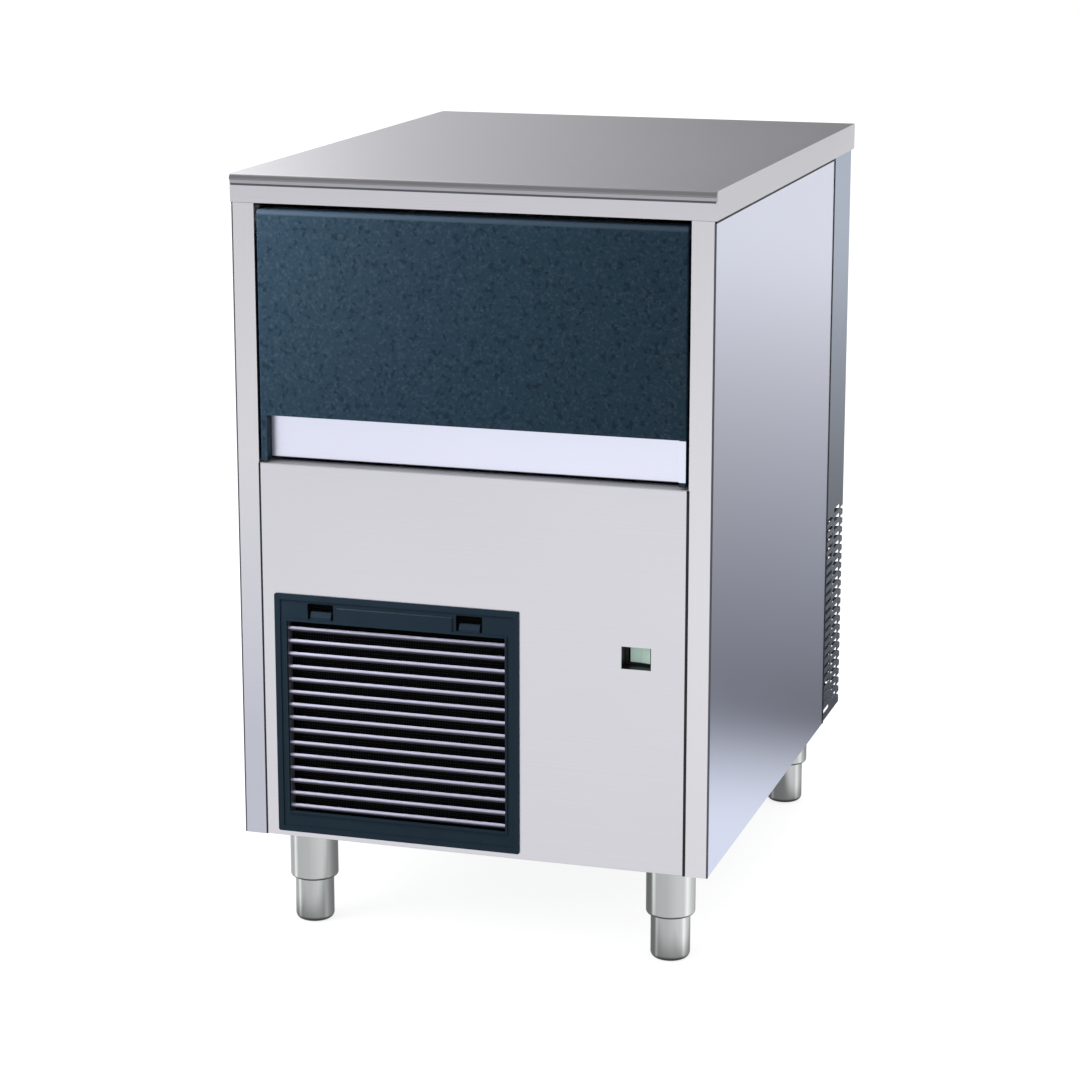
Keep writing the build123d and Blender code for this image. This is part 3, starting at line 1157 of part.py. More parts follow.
# Fan motor behind the straps, shaft forward through them
FAN_Y0 = HOOD_Y1 - FAN_SET
SHAFT_END = 4.0
with BuildPart() as fan_motor:
    with BuildSketch(Plane.XZ.offset(-STRAP_Y)):
        with Locations((FAN_X, FAN_Z)):
            Circle(FAN_MOTOR_R)
    extrude(amount=-FAN_MOTOR_L)
    motor_edge = fan_motor.edges().filter_by(GeomType.CIRCLE).sort_by(Axis.Y)[-1]
    fillet(motor_edge, radius=FAN_MOTOR_EDGE_R)
    with BuildSketch(Plane.XZ.offset(-STRAP_Y)):
        with Locations((FAN_X, FAN_Z)):
            Circle(FAN_SHAFT_R)
    extrude(amount=STRAP_Y - FAN_Y0 - SHAFT_END)
save(fan_motor.part, "fan_motor")

# Fan: hub and twisted blades
BLADE_SINK = 3.0
BLADE_TIP_GAP = 4.0
with BuildPart() as fan_blades:
    with BuildSketch(Plane.XZ.offset(-FAN_Y0)):
        with Locations((FAN_X, FAN_Z)):
            Circle(FAN_HUB_R)
    extrude(amount=-FAN_HUB_L)
    hub_centre = Vector(FAN_X, FAN_Y0 + FAN_HUB_L / 2, FAN_Z)
    sections = (
        (FAN_HUB_R - BLADE_SINK, FAN_ROOT_TURN, FAN_ROOT_W / 2, FAN_ROOT_CAMBER),
        (FAN_R - BLADE_TIP_GAP, FAN_TIP_TURN, FAN_TIP_W / 2, FAN_TIP_CAMBER),
    )
    for i in range(FAN_BLADES):
        around = 2 * pi * i / FAN_BLADES
        outward = Vector(cos(around), 0, sin(around))
        forward = Vector(-sin(around), 0, cos(around))
        for radius, twist, half, camber in sections:
            chord = forward * cos(twist) + Vector(0, sin(twist), 0)
            plane = Plane(origin=hub_centre + outward * radius, x_dir=chord, z_dir=outward)
            with BuildSketch(plane):
                with BuildLine():
                    ThreePointArc((-half, 0), (0, camber), (half, 0))
                    Line((half, 0), (half, -FAN_BLADE_T))
                    ThreePointArc((half, -FAN_BLADE_T), (0, camber - FAN_BLADE_T), (-half, -FAN_BLADE_T))
                    Line((-half, -FAN_BLADE_T), (-half, 0))
                make_face()
        loft(ruled=True)
    with BuildSketch(Plane.XZ.offset(-(FAN_Y0 + FAN_BLADE_T))):
        with Locations((FAN_X, FAN_Z)):
            Circle(FAN_SHAFT_R + RUN_FIT)
    extrude(amount=-FAN_HUB_L, mode=Mode.SUBTRACT)
save(fan_blades.part, "fan_blades")

# Compressor: welded shell on a foot plate, with pipe stubs
STUB_OUT_X = 12.0
STUB_IN_X = 22.0
STUB_X = COMP_X + COMP_R + STUB_OUT_X
STUB_Y = (COMP_Y - 20.0, COMP_Y + 30.0)
STUB_Z = (COMP_Z0 + 139.0, COMP_Z0 + 119.0)
with BuildPart() as compressor:
    with BuildSketch(Plane.XY.offset(COMP_Z0)):
        with Locations((COMP_X, COMP_Y)):
            plate_w = 2 * (COMP_FEET_X + COMP_PLATE_EDGE)
            plate_d = 2 * (COMP_FEET_Y + COMP_PLATE_EDGE)
            RectangleRounded(plate_w, plate_d, MOUNT_R)
            with GridLocations(2 * COMP_FEET_X, 2 * COMP_FEET_Y, 2, 2):
                Circle(MOUNT_HOLE_R, mode=Mode.SUBTRACT)
    extrude(amount=COMP_PLATE_T)
    with BuildSketch(Plane.XY.offset(COMP_Z0 + COMP_PLATE_T / 2)):
        with Locations((COMP_X, COMP_Y)):
            Circle(COMP_R)
    extrude(amount=COMP_H - COMP_PLATE_T / 2)
    dome_edge = compressor.edges().filter_by(GeomType.CIRCLE).group_by(Axis.Z)[-1]
    fillet(dome_edge, radius=COMP_DOME_R)
    with BuildSketch(Plane.XY.offset(COMP_Z0 + COMP_H / 2)):
        with Locations((COMP_X, COMP_Y)):
            Circle(COMP_R + COMP_SEAM)
    extrude(amount=COMP_SEAM_H)
    for y, z in zip(STUB_Y, STUB_Z):
        with BuildSketch(Plane.YZ.offset(COMP_X + COMP_R - STUB_IN_X)):
            with Locations((y, z)):
                Circle(STUB_R)
        extrude(amount=STUB_OUT_X + STUB_IN_X)
    with BuildSketch(Plane.XZ.offset(-(COMP_Y - COMP_R - COMP_PAD_OUT))):
        with Locations((COMP_X, COMP_Z0 + COMP_H / 2 + COMP_PAD_H / 3)):
            RectangleRounded(COMP_PAD_W, COMP_PAD_H, COMP_SEAM_H)
    extrude(amount=-2 * COMP_PAD_OUT)
save(compressor.part, "compressor")

with BuildPart() as compressor_mounts:
    with BuildSketch(Plane.XY.offset(BASE_TOP)):
        with Locations((COMP_X, COMP_Y)):
            with GridLocations(2 * COMP_FEET_X, 2 * COMP_FEET_Y, 2, 2):
                Circle(MOUNT_R)
    extrude(amount=COMP_Z0 - BASE_TOP)
    with BuildSketch(Plane.XY.offset(COMP_Z0)):
        with Locations((COMP_X, COMP_Y)):
            with GridLocations(2 * COMP_FEET_X, 2 * COMP_FEET_Y, 2, 2):
                Circle(MOUNT_HOLE_R - FIT)
    extrude(amount=MOUNT_PIN_H)
save(compressor_mounts.part, "compressor_mounts")

# Gearmotor bracket, gearbox and motor
GEAR_MID_X = (GEAR_X0 + GEAR_X1) / 2
with BuildPart() as gearmotor_bracket:
    bracket_w = GEAR_X1 - GEAR_X0 + 2 * BRACKET_SIDE
    bracket_d = 2 * (GEAR_DY + BRACKET_SIDE)
    with BuildSketch(Plane.XZ.offset(-(UNIT_Y - bracket_d / 2))):
        with Locations((GEAR_MID_X, (BASE_TOP + GEAR_Z) / 2)):
            Rectangle(bracket_w, GEAR_Z - BASE_TOP)
        with Locations((GEAR_MID_X, (BASE_TOP + GEAR_Z) / 2 - BRACKET_T)):
            Rectangle(bracket_w - 2 * BRACKET_T, GEAR_Z - BASE_TOP, mode=Mode.SUBTRACT)
    extrude(amount=-bracket_d)
    with BuildSketch(Plane.XY.offset(BASE_TOP)):
        for side in (-1, 1):
            with Locations((GEAR_MID_X + side * (bracket_w - BRACKET_FOOT) / 2, UNIT_Y)):
                Rectangle(BRACKET_FOOT, bracket_d)
    extrude(amount=BRACKET_T)
save(gearmotor_bracket.part, "gearmotor_bracket")

with BuildPart() as gearbox:
    with BuildSketch(Plane.XY.offset(GEAR_Z)):
        with Locations((GEAR_MID_X, UNIT_Y)):
            SlotOverall(GEAR_X1 - GEAR_X0, 2 * GEAR_DY)
    extrude(amount=GEAR_H)
    fillet(gearbox.edges().group_by(Axis.Z)[-1], radius=2 * GEAR_SEAM)
    with BuildSketch(Plane.XY.offset(GEAR_Z + (GEAR_H - GEAR_SEAM_H) / 2)):
        with Locations((GEAR_MID_X, UNIT_Y)):
            SlotOverall(GEAR_X1 - GEAR_X0 + 2 * GEAR_SEAM, 2 * (GEAR_DY + GEAR_SEAM))
    extrude(amount=GEAR_SEAM_H)
    with BuildSketch(Plane.XY.offset(GEAR_Z + JOURNAL_SET)):
        with Locations((UNIT_X, UNIT_Y)):
            Circle(JOURNAL_R + RUN_FIT)
    extrude(amount=GEAR_H, mode=Mode.SUBTRACT)
save(gearbox.part, "gearbox")

MOTOR_EDGE_R = 10.0
MOTOR_GROOVE = 3.0
MOTOR_GROOVE_Z = GEAR_TOP + 22.0
MOTOR_PAD = (40.0, 50.0)
MOTOR_PAD_OUT = 10.0
with BuildPart() as gearmotor:
    with BuildSketch(Plane.XY.offset(GEAR_TOP)):
        with Locations((MOTOR_X, UNIT_Y)):
            Circle(MOTOR_R)
    extrude(amount=MOTOR_H)
    fillet(gearmotor.edges().filter_by(GeomType.CIRCLE).sort_by(Axis.Z)[-1], radius=MOTOR_EDGE_R)
    with BuildSketch(Plane.XY.offset(MOTOR_GROOVE_Z)):
        with Locations((MOTOR_X, UNIT_Y)):
            Circle(MOTOR_R)
            Circle(MOTOR_R - MOTOR_GROOVE, mode=Mode.SUBTRACT)
    extrude(amount=MOTOR_GROOVE, mode=Mode.SUBTRACT)
    with BuildSketch(Plane.XZ.offset(-(UNIT_Y - MOTOR_R - MOTOR_PAD_OUT))):
        with Locations((MOTOR_X, GEAR_TOP + MOTOR_H / 2 + MOTOR_EDGE_R)):
            RectangleRounded(*MOTOR_PAD, MOTOR_GROOVE)
    extrude(amount=-2 * MOTOR_PAD_OUT)
save(gearmotor.part, "gearmotor")

# Evaporator barrel with its lower flange and the pipe stubs that pass through the foam
STUB_SIDE = 25.0
WATER_STUB = (UNIT_X, GEAR_TOP + 40.0)
LIQUID_STUB = (UNIT_X - STUB_SIDE, GEAR_TOP + 70.0)
SUCTION_STUB = (UNIT_X + STUB_SIDE, BARREL_TOP - 40.0)
STUB_FRONT_Y = UNIT_Y - FOAM_SHELL_R - STUB_OUT
with BuildPart() as evaporator_barrel:
    with BuildSketch(Plane.XY.offset(GEAR_TOP)):
        with Locations((UNIT_X, UNIT_Y)):
            Circle(BARREL_FLANGE_R)
    extrude(amount=BARREL_FLANGE_T)
    with BuildSketch(Plane.XY.offset(GEAR_TOP)):
        with Locations((UNIT_X, UNIT_Y)):
            Circle(BARREL_R + BARREL_WALL)
    extrude(amount=BARREL_TOP - GEAR_TOP)
    with BuildSketch(Plane.XZ.offset(-STUB_FRONT_Y)):
        with Locations(WATER_STUB, LIQUID_STUB, SUCTION_STUB):
            Circle(STUB_R)
    extrude(amount=-(UNIT_Y - STUB_FRONT_Y - BARREL_R / 2))
    with BuildSketch(Plane.XY.offset(AUGER_BOTTOM - BREAKER_GAP)):
        with Locations((UNIT_X, UNIT_Y)):
            Circle(BARREL_R)
    extrude(amount=BARREL_TOP, mode=Mode.SUBTRACT)
    with BuildSketch(Plane.XY.offset(GEAR_TOP)):
        with Locations((UNIT_X, UNIT_Y)):
            Circle(JOURNAL_R + RUN_FIT)
    extrude(amount=BARREL_TOP, mode=Mode.SUBTRACT)
save(evaporator_barrel.part, "evaporator_barrel")

with BuildPart() as evaporator_insulation:
    foam_z0 = GEAR_TOP + BARREL_FLANGE_T
    with BuildSketch(Plane.XY.offset(foam_z0)):
        with Locations((UNIT_X, UNIT_Y)):
            Circle(FOAM_SHELL_R)
            Circle(BARREL_R + BARREL_WALL + FIT, mode=Mode.SUBTRACT)
    extrude(amount=BARREL_TOP - foam_z0 - FIT)
    with BuildSketch(Plane.XZ.offset(-STUB_FRONT_Y)):
        with Locations(WATER_STUB, LIQUID_STUB, SUCTION_STUB):
            Circle(STUB_R + FIT)
    extrude(amount=-(UNIT_Y - STUB_FRONT_Y), mode=Mode.SUBTRACT)
save(evaporator_insulation.part, "evaporator_insulation")

# Auger: core, helical flight and journals
with BuildPart() as auger:
    flight_in = AUGER_CORE_R - THROUGH
    flight_out = BARREL_R - AUGER_GAP
    with BuildSketch(Plane.XY.offset(AUGER_BOTTOM)):
        with Locations((UNIT_X, UNIT_Y)):
            Circle(AUGER_CORE_R)
    extrude(amount=AUGER_TOP - AUGER_BOTTOM)
    with BuildSketch(Plane.XY.offset(GEAR_Z + JOURNAL_SET + THROUGH)):
        with Locations((UNIT_X, UNIT_Y)):
            Circle(JOURNAL_R)
    extrude(amount=BARREL_TOP + HEAD_H + BREAKER_H - GEAR_Z - JOURNAL_SET - THROUGH)
    with BuildLine(Plane.XY.offset(AUGER_BOTTOM + FLIGHT_LEAD_IN)) as flight_path:
        Helix(AUGER_PITCH, AUGER_PITCH * AUGER_TURNS, flight_in, center=(UNIT_X, UNIT_Y))
    start = flight_path.edges()[0] @ 0
    with BuildSketch(Plane(origin=start, x_dir=(1, 0, 0), z_dir=(0, 1, 0))):
        with Locations(((flight_out - flight_in) / 2, 0)):
            Rectangle(flight_out - flight_in, AUGER_FLIGHT_T)
    sweep(path=flight_path.wires()[0], is_frenet=True)
save(auger.part, "auger")

# Extruding head on the barrel and the breaker that turns above it
with BuildPart() as extruding_head:
    with BuildSketch(Plane.XY.offset(BARREL_TOP)):
        with Locations((UNIT_X, UNIT_Y)):
            Circle(BARREL_R + BARREL_WALL)
            Circle(JOURNAL_R + RUN_FIT, mode=Mode.SUBTRACT)
            with PolarLocations(HEAD_PCD_R, HEAD_HOLES):
                Circle(HEAD_HOLE_R, mode=Mode.SUBTRACT)
    extrude(amount=HEAD_H)
save(extruding_head.part, "extruding_head")

with BuildPart() as ice_breaker:
    breaker_z = BARREL_TOP + HEAD_H + BREAKER_GAP
    with BuildSketch(Plane.XY.offset(breaker_z)):
        with Locations((UNIT_X, UNIT_Y)):
            Circle(JOURNAL_R + BREAKER_HUB)
            for i in range(BREAKER_ARMS):
                with Locations(Location((0, 0, 0), 360 / BREAKER_ARMS * i)):
                    with Locations((BARREL_R / 2, 0)):
                        Rectangle(BARREL_R, BREAKER_ARM_W)
            Circle(JOURNAL_R + RUN_FIT, mode=Mode.SUBTRACT)
    extrude(amount=BREAKER_H - 2 * BREAKER_GAP)
save(ice_breaker.part, "ice_breaker")

# Spout over the head and the chute through the bin wall
with BuildPart() as ice_spout:
    with BuildSketch(Plane.XY.offset(BARREL_TOP)):
        with Locations((UNIT_X, UNIT_Y)):
            Circle(SPOUT_R)
    extrude(amount=SPOUT_TOP - BARREL_TOP)
    duct_w = CHUTE_W - 2 * THROUGH
    duct_h = CHUTE_H - 2 * THROUGH
    duct_y0 = FOAM_REAR_Y - CHUTE_FLANGE
    with BuildSketch(Plane.XZ.offset(-duct_y0)):
        with Locations((UNIT_X, CHUTE_Z)):
            Rectangle(duct_w, duct_h)
    extrude(amount=-(UNIT_Y - duct_y0))
    with BuildSketch(Plane.XY.offset(BARREL_TOP)):
        with Locations((UNIT_X, UNIT_Y)):
            Circle(SPOUT_R - PLASTIC)
    extrude(amount=SPOUT_TOP - BARREL_TOP - PLASTIC, mode=Mode.SUBTRACT)
    with BuildSketch(Plane.XZ.offset(-duct_y0)):
        with Locations((UNIT_X, CHUTE_Z)):
            Rectangle(duct_w - 2 * PLASTIC, duct_h - 2 * PLASTIC)
    extrude(amount=-(UNIT_Y - duct_y0), mode=Mode.SUBTRACT)
save(ice_spout.part, "ice_spout")

with BuildPart() as ice_chute:
    chute_y0 = LINER_REAR_Y - CHUTE_OUT
    chute_y1 = FOAM_REAR_Y + CHUTE_IN
    with BuildSketch(Plane.XZ.offset(-chute_y0)):
        with Locations((UNIT_X, CHUTE_Z)):
            Rectangle(CHUTE_W + 2 * PLASTIC, CHUTE_H + 2 * PLASTIC)
    extrude(amount=-(chute_y1 - chute_y0))
    with BuildSketch(Plane.XZ.offset(-(LINER_REAR_Y - PLASTIC))):
        with Locations((UNIT_X, CHUTE_Z)):
            Rectangle(CHUTE_W + 2 * CHUTE_FLANGE, CHUTE_H + 2 * CHUTE_FLANGE)
    extrude(amount=-PLASTIC)
    with BuildSketch(Plane.XZ.offset(-chute_y0)):
        with Locations((UNIT_X, CHUTE_Z)):
            Rectangle(CHUTE_W, CHUTE_H)
    extrude(amount=-(chute_y1 - chute_y0), mode=Mode.SUBTRACT)
save(ice_chute.part, "ice_chute")

# Float tank on the back of the bin, with its valve and float
TANK_MID = ((TANK_X0 + TANK_X1) / 2, (TANK_Y0 + TANK_Y1) / 2)
OUTLET = (TANK_X1 - 20.0, TANK_MID[1])
OUTLET_Z = TANK_Z0 - 8.0
with BuildPart() as water_tank:
    arms = [(TANK_MID[0] + side * TANK_ARM_X, TANK_PLATE_Z) for side in (-1, 1)]
    with BuildSketch(Plane.XY.offset(TANK_Z0)):
        with Locations(TANK_MID):
            RectangleRounded(TANK_W, TANK_D, TANK_R)
    extrude(amount=TANK_H)
    with BuildSketch(Plane.XY.offset(TANK_Z0 + PLASTIC)):
        with Locations(TANK_MID):
            RectangleRounded(TANK_W - 2 * PLASTIC, TANK_D - 2 * PLASTIC, TANK_R - PLASTIC)
    extrude(amount=TANK_Z1, mode=Mode.SUBTRACT)
    with BuildSketch(Plane.XZ.offset(-FOAM_REAR_Y)):
        with Locations((TANK_MID[0], TANK_PLATE_Z)):
            Rectangle(TANK_PLATE_W, TANK_PLATE_H)
            Rectangle(2 * (TANK_ARM_X - TANK_ARM_T), TANK_PLATE_H * 0.6, mode=Mode.SUBTRACT)
    extrude(amount=-TANK_ARM_T)
    with BuildSketch(Plane.XZ.offset(-FOAM_REAR_Y)):
        with Locations(*arms):
            Rectangle(TANK_ARM_T, TANK_ARM_H)
    extrude(amount=-(TANK_Y0 - FOAM_REAR_Y + THROUGH))
    with BuildSketch(Plane.XY.offset(OUTLET_Z)):
        with Locations(OUTLET):
            Circle(STUB_R)
    extrude(amount=TANK_Z0 - OUTLET_Z)
save(water_tank.part, "water_tank")

VALVE_X = TANK_X0 + 8.0
VALVE_Y = TANK_MID[1]
VALVE_W = 32.0
VALVE_D = 26.0
VALVE_H = 16.0
VALVE_TOP = TANK_Z1 + VALVE_H
FLOAT_PIVOT = (TANK_X0 + 22.0, TANK_Z1 - 6.0)
FLOAT_PIN_R = 2.0
EAR_W = 10.0
EAR_T = 3.0
ARM_W = 6.0
EAR_GAP = 3.0
with BuildPart() as float_valve:
    with BuildSketch(Plane.XY.offset(TANK_Z1)):
        with Locations((VALVE_X + EAR_W / 2, VALVE_Y)):
            Rectangle(VALVE_W, VALVE_D)
    extrude(amount=VALVE_H)
    ear_z0 = FLOAT_PIVOT[1] - EAR_W / 2
    for y in (VALVE_Y - ARM_W / 2 - EAR_GAP - EAR_T, VALVE_Y + ARM_W / 2 + EAR_GAP):
        with BuildSketch(Plane.XZ.offset(-y)):
            with Locations((FLOAT_PIVOT[0], (ear_z0 + TANK_Z1) / 2)):
                Rectangle(EAR_W, TANK_Z1 - ear_z0)
        extrude(amount=-EAR_T)
    pin_l = ARM_W + 2 * EAR_GAP + EAR_T
    with BuildSketch(Plane.XZ.offset(-(VALVE_Y - pin_l / 2))):
        with Locations(FLOAT_PIVOT):
            Circle(FLOAT_PIN_R)
    extrude(amount=-pin_l)
save(float_valve.part, "float_valve")

FLOAT_X = FLOAT_PIVOT[0] + 40.0
FLOAT_TOP = FLOAT_PIVOT[1] - 22.0
FLOAT_H = 28.0
FLOAT_R = 17.0
FLOAT_EDGE_R = 6.0
ARM_HALF = 3.0
with BuildPart() as float_arm:
    with BuildSketch(Plane.XZ.offset(-(VALVE_Y - ARM_W / 2))):
        with BuildLine():
            Polyline(
                (FLOAT_PIVOT[0] - 4, FLOAT_PIVOT[1] - ARM_HALF),
                (FLOAT_PIVOT[0] - 4, FLOAT_PIVOT[1] + ARM_HALF),
                (FLOAT_PIVOT[0] + 5, FLOAT_PIVOT[1] + ARM_HALF),
                (FLOAT_X + ARM_HALF, FLOAT_TOP),
                (FLOAT_X - ARM_HALF, FLOAT_TOP - 2),
                close=True,
            )
        make_face()
        with Locations(FLOAT_PIVOT):
            Circle(FLOAT_PIN_R + RUN_FIT, mode=Mode.SUBTRACT)
    extrude(amount=-ARM_W)
    with BuildSketch(Plane.XY.offset(FLOAT_TOP - FLOAT_H)):
        with Locations((FLOAT_X, VALVE_Y)):
            Circle(FLOAT_R)
    extrude(amount=FLOAT_H)
    float_edge = float_arm.edges().filter_by(GeomType.CIRCLE).group_by(Axis.Z)[0]
    fillet(float_edge, radius=FLOAT_EDGE_R)
save(float_arm.part, "float_arm")


def hose(radius, points, bends):
    """Hose or tube with a round section along straight runs joined by arcs."""
    with BuildPart() as tube:
        with BuildLine() as route:
            FilletPolyline(*points, radius=bends)
        path = route.wires()[0]
        with BuildSketch(Plane(origin=path @ 0, z_dir=path % 0)):
            Circle(radius)
        sweep(path=path)
    return tube.part


# Hoses: the water ones run between the bin and the unit, and behind the unit
BAY_RUN_Y = (FOAM_REAR_Y + STUB_FRONT_Y) / 2
REAR_RUN_Y = REAR_Y - 22.0
feed_points = [
    (*OUTLET, OUTLET_Z),
    (*OUTLET, OUTLET_Z - 52),
    (UNIT_X - 85, BAY_RUN_Y + 6, OUTLET_Z - 97),
    (UNIT_X, BAY_RUN_Y, WATER_STUB[1] + 110),
    (UNIT_X, BAY_RUN_Y, WATER_STUB[1]),
    (UNIT_X, STUB_FRONT_Y, WATER_STUB[1]),
]
feed_hose = hose(HOSE_R, feed_points, [22, 40, 40, 8])
save(feed_hose, "feed_hose")

RISER_Y = REAR_Y - 66.0
VALVE_RUN_Z = VALVE_TOP + 20.0
inlet_points = [
    (DRAIN_X, PLATE_IN_Y - INLET_SHANK_L, INLET_Z),
    (DRAIN_X, RISER_Y, INLET_Z),
    (DRAIN_X, RISER_Y, GEAR_TOP + 180),
    (DRAIN_X - 50, REAR_RUN_Y, GEAR_TOP + 250),
    (TANK_X1 - 10, REAR_RUN_Y, VALVE_TOP - 6),
    (VALVE_X, REAR_Y - 58, VALVE_RUN_Z),
    (VALVE_X, VALVE_Y, VALVE_RUN_Z),
    (VALVE_X, VALVE_Y, VALVE_TOP),
]
inlet_hose = hose(HOSE_R, inlet_points, [14, 60, 50, 40, 30, 14])
save(inlet_hose, "inlet_hose")

drain_points = [
    (DRAIN_X, DRAIN_Y, LINER_FLOOR - PLASTIC - FIT),
    (DRAIN_X, DRAIN_Y, SPIGOT_Z),
    (DRAIN_X, PLATE_IN_Y - FIT, SPIGOT_Z),
]
drain_hose = hose(DRAIN_R, drain_points, 40)
save(drain_hose, "drain_hose")

# Refrigerant lines and the filter drier
DRIER_R = 16.0
DRIER_L = 110.0
DRIER_TAPER = 9.0
DRIER_STUB = 4.0
LINE_X = (BEND_X1 + BOX_X0) / 2
DRIER_Y0 = COMP_Y - 180.0
DRIER_Y1 = DRIER_Y0 + DRIER_L
DRIER_Z = BASE_TOP + DRIER_R + FIT
COIL_TOP_Z = TUBE_Z0 + TUBE_PITCH * (TUBE_ROWS - 1)
with BuildPart() as filter_drier:
    with BuildSketch(Plane.XZ.offset(-DRIER_Y0)):
        with Locations((LINE_X, DRIER_Z)):
            Circle(DRIER_R)
    extrude(amount=-DRIER_L)
    chamfer(filter_drier.edges().filter_by(GeomType.CIRCLE), length=DRIER_TAPER)
    with BuildSketch(Plane.XZ.offset(-DRIER_Y0 + DRIER_STUB)):
        with Locations((LINE_X, DRIER_Z)):
            Circle(STUB_R)
    extrude(amount=-(DRIER_L + 2 * DRIER_STUB))
save(filter_drier.part, "filter_drier")

discharge_points = [
    (STUB_X, STUB_Y[0], STUB_Z[0]),
    (STUB_X + 46, STUB_Y[0], STUB_Z[0]),
    (LINE_X, COMP_Y - 80, COIL_TOP_Z),
    (LINE_X, TUBE_Y, COIL_TOP_Z),
    (BEND_X1, TUBE_Y, COIL_TOP_Z),
]
liquid_points = [
    (BEND_X1, TUBE_Y, TUBE_Z0),
    (LINE_X, TUBE_Y, TUBE_Z0),
    (LINE_X, DRIER_Y0 - 40, DRIER_Z),
    (LINE_X, DRIER_Y0 - DRIER_STUB, DRIER_Z),
]
capillary_points = [
    (LINE_X, DRIER_Y1 + DRIER_STUB, DRIER_Z),
    (LINE_X, COMP_Y + 40, DRIER_Z),
    (LIQUID_STUB[0], BAY_RUN_Y, GEAR_Z + 10),
    (LIQUID_STUB[0], BAY_RUN_Y, LIQUID_STUB[1]),
    (LIQUID_STUB[0], STUB_FRONT_Y, LIQUID_STUB[1]),
]
suction_points = [
    (SUCTION_STUB[0], STUB_FRONT_Y, SUCTION_STUB[1]),
    (SUCTION_STUB[0], BAY_RUN_Y, SUCTION_STUB[1]),
    (SUCTION_STUB[0], BAY_RUN_Y, STUB_Z[1]),
    (SUCTION_STUB[0], STUB_Y[1], STUB_Z[1]),
    (STUB_X, STUB_Y[1], STUB_Z[1]),
]
lines = [
    hose(LINE_R, discharge_points, [20, 40, 12]),
    hose(LINE_R, liquid_points, [12, 14]),
    hose(CAPILLARY_R, capillary_points, [20, 20, 8]),
    hose(STUB_R, suction_points, [8, 20, 20]),
]
with BuildPart() as refrigerant_lines:
    for line in lines:
        add(line)
save(refrigerant_lines.part, "refrigerant_lines")

# Fittings on the connection plate
NUT_T = 5.0
THREAD_SHORT = 3.0
with BuildPart() as water_inlet_fitting:
    with BuildSketch(Plane.XZ.offset(-PLATE_OUT_Y)):
        with Locations((DRAIN_X, INLET_Z)):
            RegularPolygon(INLET_NUT_R, 6)
    extrude(amount=-NUT_T)
    with BuildSketch(Plane.XZ.offset(-PLATE_OUT_Y)):
        with Locations((DRAIN_X, INLET_Z)):
            Circle(INLET_THREAD_R)
    extrude(amount=-(REAR_Y - PLATE_OUT_Y - THREAD_SHORT))
    with BuildSketch(Plane.XZ.offset(-(PLATE_IN_Y - INLET_SHANK_L))):
        with Locations((DRAIN_X, INLET_Z)):
            Circle(INLET_SHANK_R)
    extrude(amount=-(INLET_SHANK_L + SHEET))
    with BuildSketch(Plane.XZ.offset(-(PLATE_IN_Y - INLET_SHANK_L))):
        with Locations((DRAIN_X, INLET_Z)):
            Circle(INLET_BORE_R)
    extrude(amount=-2 * NICHE_DEPTH, mode=Mode.SUBTRACT)
save(water_inlet_fitting.part, "water_inlet_fitting")

with BuildPart() as drain_spigot:
    with BuildSketch(Plane.XZ.offset(-PLATE_IN_Y)):
        with Locations((DRAIN_X, SPIGOT_Z)):
            Circle(SPIGOT_R)
            Circle(SPIGOT_R - PLASTIC, mode=Mode.SUBTRACT)
    extrude(amount=-(REAR_Y - PLATE_IN_Y - REAR_STEP))
    with BuildSketch(Plane.XZ.offset(-PLATE_OUT_Y)):
        with Locations((DRAIN_X, SPIGOT_Z)):
            Circle(SPIGOT_R + SPIGOT_COLLAR)
            Circle(SPIGOT_R - THROUGH, mode=Mode.SUBTRACT)
    extrude(amount=-THREAD_SHORT)
save(drain_spigot.part, "drain_spigot")

with BuildPart() as cable_gland:
    with BuildSketch(Plane.XZ.offset(-PLATE_OUT_Y)):
        with Locations((GLAND_X, GLAND_Z)):
            RegularPolygon(GLAND_NUT_R, 6)
    extrude(amount=-NUT_T)
    with BuildSketch(Plane.XZ.offset(-PLATE_OUT_Y)):
        with Locations((GLAND_X, GLAND_Z)):
            Circle(GLAND_CAP_R)
    extrude(amount=-GLAND_CAP_L)
    cap_edge = cable_gland.edges().filter_by(GeomType.CIRCLE).sort_by(Axis.Y)[-1]
    fillet(cap_edge, radius=GLAND_CAP_EDGE_R)
    with BuildSketch(Plane.XZ.offset(-(PLATE_IN_Y - GLAND_SHANK_L))):
        with Locations((GLAND_X, GLAND_Z)):
            Circle(GLAND_SHANK_R)
    extrude(amount=-(GLAND_SHANK_L + SHEET))
    with BuildSketch(Plane.XZ.offset(-(PLATE_IN_Y - GLAND_SHANK_L))):
        with Locations((GLAND_X, GLAND_Z)):
            Circle(GLAND_BORE_R)
    extrude(amount=-2 * NICHE_DEPTH, mode=Mode.SUBTRACT)
save(cable_gland.part, "cable_gland")
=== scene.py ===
"""Finish of an undercounter flake-ice machine: sheet steel, mouldings, refrigeration parts and stage."""

import math

import bmesh
import bpy
from bpy.props import FloatProperty, FloatVectorProperty, PointerProperty
from mathutils import Matrix, Vector


